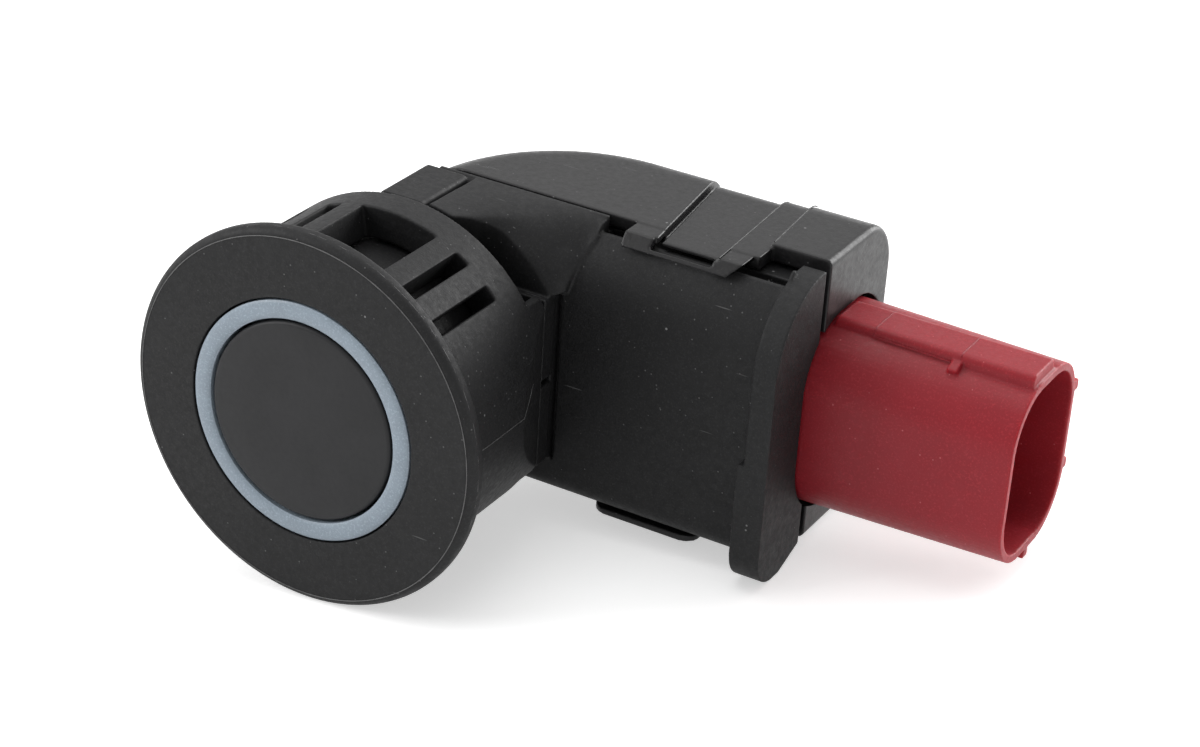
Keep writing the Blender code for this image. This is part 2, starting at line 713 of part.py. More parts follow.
def shoulder_back_point(share):
    """A point of the squarer section at the back, by its share of the way round it."""
    radians = math.radians(SHOULDER_START_ANGLE)
    left = SLEEVE_RADIUS * math.sin(radians)
    low = SLEEVE_RADIUS * math.cos(math.radians(SHOULDER_END_ANGLE))
    corner_centre = (SHOULDER_SIDE - SHOULDER_CORNER, COVER_TOP - SHOULDER_CORNER)
    across = corner_centre[0] - left
    round_length = SHOULDER_CORNER * math.pi / 2
    down = corner_centre[1] - low
    travel = share * (across + round_length + down)
    if travel < across:
        return left + travel, COVER_TOP
    travel -= across
    if travel < round_length:
        angle = math.pi / 2 - travel / SHOULDER_CORNER
        x = corner_centre[0] + SHOULDER_CORNER * math.cos(angle)
        return x, corner_centre[1] + SHOULDER_CORNER * math.sin(angle)
    return SHOULDER_SIDE, corner_centre[1] - (travel - round_length)


def shoulder_section(share):
    """Outer and inner points of the shoulder along its length, at one place round it."""
    angle = SHOULDER_START_ANGLE + (SHOULDER_END_ANGLE - SHOULDER_START_ANGLE) * share
    radians = math.radians(angle)
    outward = Vector((math.sin(radians), 0.0, math.cos(radians)))
    along = Vector((0.0, 1.0, 0.0))
    front = outward * SLEEVE_RADIUS + along * shoulder_front(angle)
    back_x, back_z = shoulder_back_point(share)
    back = Vector((back_x, SHOULDER_BACK, back_z))
    outer = [front.lerp(back, row / SHOULDER_ROWS) for row in range(SHOULDER_ROWS + 1)]
    inner = [outward * (SLEEVE_RADIUS - SHOULDER_DEPTH) + along * point.y for point in outer]
    return outer + inner[::-1]


def build_shoulder():
    """Loft from the round barrel at the front to the square body at the back."""
    bm = bmesh.new()
    sections = []
    for step in range(SHOULDER_STEPS + 1):
        sections.append([bm.verts.new(co) for co in shoulder_section(step / SHOULDER_STEPS)])
    count = len(sections[0])
    for near, far in zip(sections, sections[1:]):
        for index in range(count):
            follow = (index + 1) % count
            bm.faces.new((near[index], near[follow], far[follow], far[index]))
    bm.faces.new(list(reversed(sections[0])))
    bm.faces.new(sections[-1])
    bmesh.ops.recalc_face_normals(bm, faces=bm.faces)
    bmesh.ops.triangulate(bm, faces=bm.faces)
    return mesh_object("shoulder", bm)


def build_rib():
    corners = [(RIB_LEFT, RIB_BOTTOM), (RIB_RIGHT, RIB_BOTTOM), (RIB_RIGHT, RIB_TOP), (RIB_LEFT, RIB_TOP)]
    outline = rounded_polygon(corners, (0.0, 0.0, RIB_ROUND, RIB_ROUND), 4)
    return plate("rib", outline, SLEEVE_END + FIT_GAP, RIB_BACK, "Y")


def flange_outline():
    """Side outline of the flange: a wide round above and a smaller one at its foot."""
    corners = [
        (FLANGE_BACK, FLANGE_TOP),
        (FLANGE_FRONT, FLANGE_TOP),
        (FLANGE_FRONT, FLANGE_BOTTOM),
        (FLANGE_TOE_Y, FLANGE_BOTTOM),
        (FLANGE_BACK, COVER_BOTTOM),
    ]
    return rounded_polygon(corners, (0.0, FLANGE_TOP_RADIUS, FLANGE_CORNER, 0.0, 0.0), 9)


def build_flange_pad():
    """Thicker lower half of the flange, on its left face."""
    outline = [point for point in flange_outline() if point[1] < FLANGE_PAD_TOP]
    outline = [(FLANGE_FRONT, FLANGE_PAD_TOP)] + outline + [(FLANGE_BACK, FLANGE_PAD_TOP)]
    left = FLANGE_LEFT - FLANGE_PAD
    return plate("flange_pad", outline, left, FLANGE_LEFT + FIT_GAP, "X")


def shroud_outline(growth=0.0):
    """Cross section of the connector in Y and Z, grown outwards by a distance."""
    half_width = SHROUD_WIDTH / 2 + growth
    half_height = SHROUD_HEIGHT / 2 + growth
    front = SHROUD_CENTRE_Y - half_width
    back = SHROUD_CENTRE_Y + half_width
    corners = [(front, -half_height), (back, -half_height), (back, half_height), (front, half_height)]
    radius = SHROUD_CORNER + growth
    return rounded_polygon(corners, (radius, radius, radius, radius), 6)


def shroud_passage(name, growth, low, high):
    """Room for the connector, its cross section grown by the fit clearance."""
    return plate(name, shroud_outline(growth + FIT_GAP), low, high, "X")


def build_inner_box():
    """The rear part of the body, which the cover slides over."""
    inset = COVER_WALL + FIT_GAP
    back = COVER_BACK - inset
    return rounded_slab("inner_box", inset, SHOULDER_BACK - FIT_GAP, back, FLANGE_LEFT + FIT_GAP,
                        inner_bottom(), inner_top())


def build_cavity():
    inset = COVER_WALL + FIT_GAP + BODY_WALL
    back = COVER_BACK - COVER_WALL - FIT_GAP - BODY_WALL
    return rounded_slab("cavity", inset, BODY_FRONT + BODY_WALL, back + OVERRUN, FLANGE_LEFT,
                        inner_bottom() + BODY_WALL, inner_top() - BODY_TOP_WALL)


def upper_recess():
    """Lowers the brow beside the shoulder and sinks a trough under the cover's edge."""
    low = BROW_TOP
    high = COVER_TOP + OVERRUN
    outline = [(FLANGE_FRONT, low), (TROUGH_FRONT, low), (TROUGH_FRONT, TROUGH_FLOOR)]
    outline += [(TROUGH_BACK, TROUGH_FLOOR), (TROUGH_BACK, high), (FLANGE_FRONT, high)]
    return plate("upper_recess", outline, SHOULDER_SIDE - RECESS_BITE, FLANGE_LEFT, "X")


def brow_depth(z, radius=BROW_RADIUS):
    """Depth of a point at a height on an arc about the brow's centre."""
    return BODY_FRONT + BROW_RADIUS - math.sqrt(radius ** 2 - (z - CREASE_Z) ** 2)


def build_lower_hook():
    """The catch under the body: a ramp towards the front and a square stop towards the back."""
    left = LOWER_LOOP_LEFT + LOWER_LOOP_SIDE + FIT_GAP
    right = LOWER_LOOP_RIGHT - LOWER_LOOP_SIDE - FIT_GAP
    front = LOWER_LOOP_FRONT + LOWER_LOOP_BAR + FIT_GAP
    back = SHOULDER_BACK - FIT_GAP
    ramp = front + (back - front) * HOOK_RAMP_SHARE
    base = BODY_BOTTOM + FIT_GAP
    tip = BODY_BOTTOM - HOOK_HEIGHT
    outline = [(front, base), (ramp, tip), (back, tip), (back, base)]
    return plate("lower_hook", outline, left, right, "X")


def housing_forms():
    body = plate("body", body_profile(), BODY_LEFT, FLANGE_LEFT + FIT_GAP, "X")
    neck = box("neck", (NECK_SIDE - NECK_LENGTH, NECK_FRONT, -NECK_TOP),
               (NECK_SIDE, BODY_FRONT + BODY_WALL, NECK_TOP))
    flange = plate("flange", flange_outline(), FLANGE_LEFT, FLANGE_LEFT + FLANGE_THICKNESS, "X")
    return [body, build_inner_box(), neck, build_shoulder(), build_rib(), flange, build_flange_pad()]


def housing_cuts():
    inner_back = COVER_BACK - COVER_WALL - FIT_GAP - BODY_WALL
    wide = DISC_RADIUS * 3
    open_back = box("open_back", (-wide, inner_back, -wide), (wide, inner_back + wide, wide))
    right = FLANGE_LEFT + FLANGE_THICKNESS + OVERRUN
    step = SHROUD_SHOULDER - FIT_GAP
    neck_passage = shroud_passage("neck_passage", -NECK_INSET, FLANGE_LEFT - OVERRUN, right)
    full_passage = shroud_passage("full_passage", 0.0, step, right)
    reach = LEAD_SPACING
    lead_window = box("lead_window", (-LEAD_X, BARREL_END - 2 * OVERRUN, -reach),
                      (BOARD_LEFT + 2 * STANDOFF_INSET, BODY_FRONT + BODY_WALL + OVERRUN, reach))
    notch = box("tongue_notch", (BARREL_RADIUS, NECK_FRONT - OVERRUN, -NOTCH_HEIGHT / 2),
                (NECK_SIDE + OVERRUN, BODY_FRONT - FIT_GAP, NOTCH_HEIGHT / 2))
    return [build_cavity(), upper_recess(), open_back, lead_window, notch, neck_passage, full_passage]


def build_standoffs():
    """Four studs on the front wall that carry the board."""
    studs = []
    for x in (BOARD_LEFT + STANDOFF_INSET, BOARD_RIGHT - STANDOFF_INSET):
        for z in (BOARD_BOTTOM + STANDOFF_INSET, BOARD_TOP - STANDOFF_INSET):
            name = f"standoff_{len(studs) + 1}"
            stud = disc_between(name, STANDOFF_RADIUS, BODY_FRONT + BODY_WALL / 2,
                                BOARD_FRONT - FIT_GAP, 16)
            stud.location = (x, 0.0, z)
            studs.append(stud)
    return studs


def build_housing(shop):
    housing = build_barrel()
    housing.name = "housing"
    for form in housing_forms():
        combine(housing, shop.as_cutter(form), "UNION")
    for cut in housing_cuts():
        combine(housing, shop.as_cutter(cut), "DIFFERENCE")
    for addition in build_standoffs() + [build_lower_hook()]:
        combine(housing, shop.as_cutter(addition), "UNION")
    return shop.finish_part(housing, "black_plastic")


# Rear cover

def lean_side(obj, x, start, slant):
    """Leans the side of a form at one place in X, by a share of the depth behind its start."""
    tiny = 0.001 * MM
    for vert in obj.data.vertices:
        if abs(vert.co.x - x) < tiny:
            vert.co.x -= slant * (vert.co.y - start)
    return obj


def band_cutter():
    """Sinks a band across the cover, from its front edge over the top and down the back."""
    top = COVER_TOP - BAND_DEPTH
    back = COVER_BACK - BAND_DEPTH
    near = LOOP_BAR_BACK
    far = COVER_BACK + OVERRUN
    low = COVER_BOTTOM + COVER_EDGE_RADIUS
    corner = (back - COVER_EDGE_RADIUS, top - COVER_EDGE_RADIUS)
    outline = [(near, top)] + arc(corner, COVER_EDGE_RADIUS, 90.0, 0.0)
    outline += [(back, low), (far, low), (far, COVER_TOP + OVERRUN), (near, COVER_TOP + OVERRUN)]
    band = plate("band", outline, BAND_LEFT, BAND_RIGHT, "X")
    lean_side(band, BAND_LEFT, near, BAND_LEFT_SLANT)
    return lean_side(band, BAND_RIGHT, near, BAND_RIGHT_SLANT)


def build_end_block():
    """Raised block at the connector end, its outer rim softened."""
    top = COVER_TOP + BLOCK_RISE
    back = COVER_BACK + BLOCK_RISE
    corners = [(BLOCK_FRONT, COVER_BOTTOM), (back, COVER_BOTTOM), (back, top), (BLOCK_FRONT, top)]
    outline = rounded_polygon(corners, (0.0, COVER_EDGE_RADIUS, BLOCK_EDGE_RADIUS, 0.0))
    block = plate("end_block", outline, BLOCK_LEFT, COVER_RIGHT, "X")
    bm = bmesh.new()
    bm.from_mesh(block.data)
    tiny = 0.001 * MM
    rim = []
    for edge in bm.edges:
        on_end = all(abs(vert.co.x - COVER_RIGHT) < tiny for vert in edge.verts)
        if on_end and not all(vert.co.y < BLOCK_FRONT + tiny for vert in edge.verts):
            if edge.calc_face_angle(0.0) > math.radians(45.0):
                rim.append(edge)
    bmesh.ops.bevel(bm, geom=rim, offset=BLOCK_END_ROUND, segments=3, profile=0.5, affect="EDGES")
    bm.to_mesh(block.data)
    bm.free()
    return lean_side(block, BLOCK_LEFT, BLOCK_FRONT, BLOCK_SLANT)


def loop_strap():
    """A strap that reaches forward from the cover's top edge and follows the brow of the body."""
    inner = LOOP_RADIUS - LOOP_THICKNESS
    top = COVER_TOP - LOOP_STEP
    under = COVER_TOP - LOOP_THICKNESS
    low = LOOP_BOTTOM - LOOP_THICKNESS
    root = COVER_FRONT + COVER_WALL
    outline = []
    for step in range(LOOP_STEPS + 1):
        z = low + (top - low) * step / LOOP_STEPS
        outline.append((brow_depth(z, LOOP_RADIUS), z))
    outline += [(root, top), (root, under)]
    for step in range(LOOP_STEPS + 1):
        z = under + (low - under) * step / LOOP_STEPS
        outline.append((brow_depth(z, inner), z))
    return plate("upper_loop", outline, LOOP_LEFT - FIT_GAP, BLOCK_LEFT + FIT_GAP, "X")


def loop_front():
    """The strap's outline from the front: two round corners below and a flare on the right."""
    high = COVER_TOP + OVERRUN
    flared = BLOCK_LEFT + BLOCK_OVERLAP
    corners = [(LOOP_LEFT, LOOP_BOTTOM), (LOOP_RIGHT, LOOP_BOTTOM), (flared, COVER_TOP)]
    corners += [(flared, high), (LOOP_LEFT, high)]
    outline = rounded_polygon(corners, (LOOP_CORNER, LOOP_CORNER, 0.0, 0.0, 0.0))
    return plate("loop_front", outline, FLANGE_FRONT, COVER_FRONT + COVER_WALL + FIT_GAP, "Y")


def build_upper_loop(shop):
    return combine(loop_strap(), shop.as_cutter(loop_front()), "INTERSECT")


def lower_loop_top():
    return BODY_BOTTOM - FIT_GAP


def build_lower_loop():
    """A flat strap under the body with its two front corners cut round."""
    left = LOWER_LOOP_LEFT
    right = LOWER_LOOP_RIGHT
    front = LOWER_LOOP_FRONT
    back = COVER_FRONT + COVER_WALL
    corners = [(left, back), (left, front), (right, front), (right, back)]
    outline = rounded_polygon(corners, (0.0, LOWER_LOOP_CORNER, LOWER_LOOP_CORNER, 0.0))
    top = lower_loop_top()
    return plate("lower_loop", outline, top - LOWER_LOOP_THICKNESS, top, "Z")


def build_lower_root():
    """Ties the lower loop to the bottom wall of the cover."""
    low = lower_loop_top() - LOWER_LOOP_THICKNESS / 2
    return box("lower_root", (LOWER_LOOP_LEFT + FIT_GAP, COVER_FRONT + LOOP_STEP, low),
               (LOWER_LOOP_RIGHT - FIT_GAP, COVER_FRONT + COVER_WALL + FIT_GAP,
                COVER_BOTTOM + COVER_WALL / 2))


def loop_windows():
    upper = box("upper_window", (WINDOW_LEFT, LOOP_BAR_BACK, BROW_TOP - COVER_WALL),
                (WINDOW_RIGHT, LOOP_BAR_BACK + LOOP_SLOT, COVER_TOP + OVERRUN))
    lower_front = LOWER_LOOP_FRONT + LOWER_LOOP_BAR
    lower = box("lower_window",
                (LOWER_LOOP_LEFT + LOWER_LOOP_SIDE, lower_front, COVER_BOTTOM - OVERRUN),
                (LOWER_LOOP_RIGHT - LOWER_LOOP_SIDE, COVER_FRONT - RING_GAP,
                 lower_loop_top() + FIT_GAP / 2))
    return [upper, lower]


def build_rear_cover(shop):
    cover = rounded_slab("rear_cover", 0.0, COVER_FRONT, COVER_BACK, BLOCK_LEFT + BLOCK_OVERLAP,
                         COVER_BOTTOM, COVER_TOP)
    for addition in (build_end_block(), build_upper_loop(shop), build_lower_loop(), build_lower_root()):
        combine(cover, shop.as_cutter(addition), "UNION")
    hollow = rounded_slab("cover_hollow", COVER_WALL, BODY_FRONT, COVER_BACK - COVER_WALL,
                          COVER_RIGHT - END_WALL, COVER_BOTTOM + COVER_WALL, COVER_TOP - COVER_WALL)
    passage = shroud_passage("end_wall_passage", 0.0, COVER_RIGHT - END_WALL - FIT_GAP,
                             COVER_RIGHT + OVERRUN)
    for cutter in [band_cutter(), hollow, passage] + loop_windows():
        combine(cover, shop.as_cutter(cutter), "DIFFERENCE")
    return shop.finish_part(cover, "cover_plastic")


# Connector

def tapered_tube(name, start_growth, end_growth, low, high):
    """A loft along X between two sizes of the connector's cross section."""
    bm = bmesh.new()
    rings = []
    for x, growth in ((low, start_growth), (high, end_growth)):
        rings.append([bm.verts.new((x, y, z)) for y, z in shroud_outline(growth)])
    count = len(rings[0])
    for index in range(count):
        follow = (index + 1) % count
        bm.faces.new((rings[0][index], rings[0][follow], rings[1][follow], rings[1][index]))
    bm.faces.new(list(reversed(rings[0])))
    bm.faces.new(rings[1])
    bmesh.ops.recalc_face_normals(bm, faces=bm.faces)
    return mesh_object(name, bm)


def key_height():
    return SHROUD_HEIGHT / 2 + KEY_RISE


def build_key():
    """Raised band along the top of the shroud."""
    centre = SHROUD_CENTRE_Y + KEY_SHIFT
    low = SHROUD_HEIGHT / 2 - SHROUD_WALL
    corners = [(centre - KEY_WIDTH / 2, low), (centre + KEY_WIDTH / 2, low)]
    corners += [(centre + KEY_WIDTH / 2, key_height()), (centre - KEY_WIDTH / 2, key_height())]
    outline = rounded_polygon(corners, (0.0, 0.0, KEY_RISE, KEY_RISE), 3)
    return plate("key", outline, COVER_RIGHT + RING_GAP, SHROUD_MOUTH - KEY_TAB, "X")


def build_collar():
    """Collar inside the housing that keeps the connector from being pulled out."""
    inset = SHROUD_WIDTH / 2 - NECK_INSET
    back = SHROUD_CENTRE_Y + inset
    half = COLLAR_HALF_HEIGHT
    corners = [(COLLAR_FRONT, -half), (back, -half), (back, half), (COLLAR_FRONT, half)]
    outline = rounded_polygon(corners, (COLLAR_CORNER,) * 4)
    return plate("collar", outline, SHROUD_LEFT, SHROUD_LEFT + COLLAR_THICKNESS, "X")


def build_nubs():
    """Small keys that stand off the back and the underside of the shroud, beside its mouth."""
    end = SHROUD_MOUTH - NUB_STEP
    start = end - NUB_LENGTH
    half = NUB_WIDTH / 2
    root = -SHROUD_DRAFT - SHROUD_WALL / 2
    tip = NUB_RISE - SHROUD_DRAFT
    back = SHROUD_CENTRE_Y + SHROUD_WIDTH / 2
    bottom = -SHROUD_HEIGHT / 2
    nubs = []
    for z in NUB_HEIGHTS:
        name = f"nub_{len(nubs) + 1}"
        nubs.append(box(name, (start, back + root, z - half), (end, back + tip, z + half)))
    y = SHROUD_CENTRE_Y + NUB_BELOW_SHIFT
    nubs.append(box("nub_below", (start, y - half, bottom - tip), (end, y + half, bottom - root)))
    return nubs


def terminal_heights():
    return (("upper", TERMINAL_PITCH), ("middle", 0.0), ("lower", -TERMINAL_PITCH))


def build_shroud(shop):
    shroud = tapered_tube("connector_shroud", 0.0, -SHROUD_DRAFT, SHROUD_SHOULDER, SHROUD_MOUTH)
    neck = plate("shroud_neck", shroud_outline(-NECK_INSET), SHROUD_LEFT + FIT_GAP,
                 SHROUD_SHOULDER + FIT_GAP, "X")
    for addition in [neck, build_collar(), build_key()] + build_nubs():
        combine(shroud, shop.as_cutter(addition), "UNION")
    socket = tapered_tube("socket", -SHROUD_WALL - SHROUD_DRAFT, -SHROUD_WALL, SHROUD_FLOOR,
                          SHROUD_MOUTH + OVERRUN)
    combine(shroud, shop.as_cutter(socket), "DIFFERENCE")
    half = TERMINAL_WIDTH / 2 + RING_GAP
    thick = TERMINAL_THICKNESS / 2 + RING_GAP
    for name, z in terminal_heights():
        slot = box(f"terminal_slot_{name}", (SHROUD_LEFT - OVERRUN, SHROUD_CENTRE_Y - thick, z - half),
                   (SHROUD_FLOOR + OVERRUN, SHROUD_CENTRE_Y + thick, z + half))
        combine(shroud, shop.as_cutter(slot), "DIFFERENCE")
    return shop.finish_part(shroud, "red_plastic")


def build_terminals(shop):
    """Flat blades that turn down to the board behind the connector."""
    half = TERMINAL_THICKNESS / 2
    board_back = BOARD_FRONT + BOARD_THICKNESS + FIT_GAP
    for name, z in terminal_heights():
        tail = TERMINAL_TAIL_X - half
        outline = [(tail, board_back), (tail + 2 * half, board_back)]
        outline += [(tail + 2 * half, SHROUD_CENTRE_Y - half), (TERMINAL_TIP, SHROUD_CENTRE_Y - half)]
        outline += [(TERMINAL_TIP, SHROUD_CENTRE_Y + half), (tail, SHROUD_CENTRE_Y + half)]
        blade = plate(f"terminal_{name}", outline, z - TERMINAL_WIDTH / 2, z + TERMINAL_WIDTH / 2, "Z")
        shop.finish_part(blade, "tin")


# Electronics

def component_front():
    """Components stand on the back of the board, on a film of solder."""
    return BOARD_FRONT + BOARD_THICKNESS + BOND_GAP


def build_board(shop):
    board = box("circuit_board", (BOARD_LEFT, BOARD_FRONT, BOARD_BOTTOM),
                (BOARD_RIGHT, BOARD_FRONT + BOARD_THICKNESS, BOARD_TOP))
    return shop.finish_part(board, "board")


def build_transformer(shop):
    front = component_front()
    back = front + TRANSFORMER_HEIGHT
    neck_front = front + TRANSFORMER_FLANGE
    neck_back = back - TRANSFORMER_FLANGE
    profile = [(0.0, front), (TRANSFORMER_RADIUS, front), (TRANSFORMER_RADIUS, neck_front)]
    profile += [(TRANSFORMER_POST, neck_front), (TRANSFORMER_POST, neck_back)]
    profile += [(TRANSFORMER_RADIUS, neck_back), (TRANSFORMER_RADIUS, back), (0.0, back)]
    core = turned("transformer_core", profile, SMALL_TURN_STEPS)
    core.location = (TRANSFORMER_X, 0.0, TRANSFORMER_Z)
    shop.finish_part(core, "ferrite")
    bore = TRANSFORMER_POST + BOND_GAP
    low = neck_front + BOND_GAP
    high = neck_back - BOND_GAP
    profile = [(WINDING_RADIUS, low), (WINDING_RADIUS, high), (bore, high), (bore, low)]
    winding = turned("transformer_winding", profile, SMALL_TURN_STEPS)
    winding.location = core.location
    shop.finish_part(winding, "copper")


def board_block(shop, name, centre_x, centre_z, size, material_name):
    """A small component: its size is width along X, height off the board and width along Z."""
    front = component_front()
    low = (centre_x - size[0] / 2, front, centre_z - size[2] / 2)
    high = (centre_x + size[0] / 2, front + size[1], centre_z + size[2] / 2)
    return shop.finish_part(box(name, low, high), material_name)


def build_components(shop):
    chip_size = (CHIP_SIZE, CHIP_THICKNESS, CHIP_SIZE)
    board_block(shop, "control_chip", CHIP_X, CHIP_Z, chip_size, "chip_resin")
    can = disc_between("tall_capacitor", TALL_CAPACITOR_RADIUS, component_front(),
                       component_front() + TALL_CAPACITOR_HEIGHT)
    can.location = (TALL_CAPACITOR_X, 0.0, TALL_CAPACITOR_Z)
    shop.finish_part(can, "aluminium")
    half_capacitor = CHIP_CAPACITOR_SIZE[2] / 2
    half_resistor = CHIP_RESISTOR_SIZE[2] / 2
    below = TRANSFORMER_Z - TRANSFORMER_RADIUS - CHIP_CLEARANCE - half_capacitor
    step = CHIP_CAPACITOR_SIZE[0] + CHIP_SPACE
    for number in range(2):
        x = TRANSFORMER_X - step / 2 + step * number
        board_block(shop, f"chip_capacitor_{number + 1}", x, below, CHIP_CAPACITOR_SIZE, "ceramic")
    row = below - half_capacitor - CHIP_ROW_SPACE - half_resistor
    step = CHIP_RESISTOR_SIZE[0] + CHIP_SPACE
    for number in range(3):
        x = TRANSFORMER_X - step + step * number
        board_block(shop, f"chip_resistor_{number + 1}", x, row, CHIP_RESISTOR_SIZE, "chip_resin")


def smooth_parts(shop):
    for obj in shop.parts.objects:
        if obj.type == "MESH":
            smooth(obj)


def main():
    shop = Workshop()
    build_bezel(shop)
    build_decoupling_ring(shop)
    build_transducer_cup(shop)
    build_transducer_inside(shop)
    build_retaining_ring(shop)
    build_leads(shop)
    build_housing(shop)
    build_rear_cover(shop)
    build_shroud(shop)
    build_terminals(shop)
    build_board(shop)
    build_transformer(shop)
    build_components(shop)
    smooth_parts(shop)


main()
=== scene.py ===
"""Looks of an angled ultrasonic parking sensor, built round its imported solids.

Each piece is modelled in millimetres about the centre of the sensing face. The face looks
along -Y, the connector points along +X and +Z is up. A finished piece is put in its place
in metres, with its object at the origin.
"""

import logging
import math
from dataclasses import dataclass, field
from enum import Enum
from typing import Callable, Mapping, Sequence

import bmesh
import bpy
from mathutils import Matrix, Vector


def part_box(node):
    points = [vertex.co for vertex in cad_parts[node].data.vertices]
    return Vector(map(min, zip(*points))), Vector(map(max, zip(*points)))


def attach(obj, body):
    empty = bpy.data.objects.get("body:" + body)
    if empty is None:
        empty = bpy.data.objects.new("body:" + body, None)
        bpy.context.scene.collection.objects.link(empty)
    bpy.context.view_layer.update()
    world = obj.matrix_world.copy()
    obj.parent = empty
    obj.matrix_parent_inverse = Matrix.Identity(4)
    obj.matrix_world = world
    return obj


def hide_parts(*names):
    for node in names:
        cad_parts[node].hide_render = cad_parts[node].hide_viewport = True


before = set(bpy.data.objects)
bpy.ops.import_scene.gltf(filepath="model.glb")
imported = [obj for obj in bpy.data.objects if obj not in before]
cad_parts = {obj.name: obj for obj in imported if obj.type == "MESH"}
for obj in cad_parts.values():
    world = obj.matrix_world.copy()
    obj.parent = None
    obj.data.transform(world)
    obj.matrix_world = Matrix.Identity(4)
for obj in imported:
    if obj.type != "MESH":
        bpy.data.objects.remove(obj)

LOG = logging.getLogger("parking_sensor")
MM = 0.001
BODY = "root"

# Distance below which two places count as the same, in millimetres
TINY = 0.001
# Angle between two faces from which their edge stays sharp
SHARP_ANGLE = math.radians(40.0)

Point = tuple[float, float]
Colour = tuple[float, float, float]


class Slot(Enum):
    """Material slots of the record."""

    BLACK = "black_plastic"
    COVER = "cover_plastic"
    SILICONE = "silicone"
    MEMBRANE = "membrane_paint"
    RED = "red_plastic"
    CERAMIC = "ceramic"
    FOAM = "foam"
    TIN = "tin"
    BOARD = "board"
    FERRITE = "ferrite"
    COPPER = "copper"
    RESIN = "chip_resin"
    ALUMINIUM = "aluminium"


class Axis(Enum):
    """Direction in which a flat outline is drawn out."""

    X = 0
    Y = 1
    Z = 2


class Cut(Enum):
    """Ways to combine two solids."""

    ADD = "UNION"
    TAKE = "DIFFERENCE"
    KEEP = "INTERSECT"


# Outlines: points are pairs in the plane of the outline

def arc(centre: Point, radius: float, start: float, end: float, steps: int = 10) -> list[Point]:
    """Points of an arc.

    Args:
        centre: Centre of the arc.
        radius: Its radius.
        start: First angle, in degrees.
        end: Last angle, in degrees.
        steps: Number of straight steps.

    Returns:
        The points, both ends included.
    """
    points = []
    for step in range(steps + 1):
        angle = math.radians(start + (end - start) * step / steps)
        points.append((centre[0] + radius * math.cos(angle), centre[1] + radius * math.sin(angle)))
    return points


def rounded_polygon(corners: Sequence[Point], radii: Sequence[float], steps: int = 10) -> list[Point]:
    """A polygon with rounded corners.

    Args:
        corners: Its sharp corners in order.
        radii: Radius of each corner, or zero for a sharp one.
        steps: Straight steps in each round.

    Returns:
        The outline's points.
    """
    points = []
    count = len(corners)
    for index, corner in enumerate(corners):
        here = Vector(corner)
        radius = radii[index]
        if radius <= 0.0:
            points.append(tuple(here))
            continue
        to_last = (Vector(corners[index - 1]) - here).normalized()
        to_next = (Vector(corners[(index + 1) % count]) - here).normalized()
        half = to_last.angle(to_next) / 2
        centre = here + (to_last + to_next).normalized() * radius / math.sin(half)
        start = here + to_last * radius / math.tan(half) - centre
        sweep = math.pi - 2 * half
        if to_last.cross(to_next) > 0:
            sweep = -sweep
        for step in range(steps + 1):
            angle = sweep * step / steps
            turned_x = start.x * math.cos(angle) - start.y * math.sin(angle)
            turned_y = start.x * math.sin(angle) + start.y * math.cos(angle)
            points.append((centre.x + turned_x, centre.y + turned_y))
    return points


# Solids in millimetres

def link_object(name: str, data: bpy.types.ID) -> bpy.types.Object:
    """Makes an object of its data and links it to the scene.

    Args:
        name: Name of the object.
        data: Its mesh, camera or light.

    Returns:
        The new object.
    """
    obj = bpy.data.objects.new(name, data)
    bpy.context.scene.collection.objects.link(obj)
    return obj


def mesh_object(name: str, bm: bmesh.types.BMesh) -> bpy.types.Object:
    """Makes an object of a closed mesh and turns its faces outwards.

    Args:
        name: Name of the object.
        bm: The mesh, which is freed.

    Returns:
        The new object, linked to the scene.
    """
    if bm.calc_volume(signed=True) < 0.0:
        bmesh.ops.reverse_faces(bm, faces=bm.faces)
    mesh = bpy.data.meshes.new(name)
    bm.to_mesh(mesh)
    bm.free()
    return link_object(name, mesh)


def loft(name: str, sections: Sequence[Sequence[Sequence[float]]],
         triangles: bool = False) -> bpy.types.Object:
    """A solid drawn through a row of sections.

    Args:
        name: Name of the solid.
        sections: Closed rings of points, each with the same number of them.
        triangles: Whether its faces are split into triangles.

    Returns:
        The closed solid.
    """
    bm = bmesh.new()
    rings = [[bm.verts.new(point) for point in section] for section in sections]
    count = len(rings[0])
    for near, far in zip(rings, rings[1:]):
        for index in range(count):
            follow = (index + 1) % count
            bm.faces.new((near[index], near[follow], far[follow], far[index]))
    bm.faces.new(list(reversed(rings[0])))
    bm.faces.new(rings[-1])
    bmesh.ops.recalc_face_normals(bm, faces=bm.faces)
    if triangles:
        bmesh.ops.triangulate(bm, faces=bm.faces)
    return mesh_object(name, bm)


def prism(name: str, outline: Sequence[Point], low: float, high: float, axis: Axis) -> bpy.types.Object:
    """A flat outline drawn out between two heights.

    Args:
        name: Name of the solid.
        outline: Points in YZ for axis X, in XZ for Y and in XY for Z.
        low: First height along the axis.
        high: Last height along the axis.
        axis: Direction of the drawing out.

    Returns:
        The closed solid.
    """
    sections = []
    for height in (low, high):
        section = []
        for point in outline:
            place = list(point)
            place.insert(axis.value, height)
            section.append(place)
        sections.append(section)
    return loft(name, sections)


def block(name: str, low: Sequence[float], high: Sequence[float]) -> bpy.types.Object:
    """A box between two corners."""
    outline = [(low[0], low[1]), (high[0], low[1]), (high[0], high[1]), (low[0], high[1])]
    return prism(name, outline, low[2], high[2], Axis.Z)


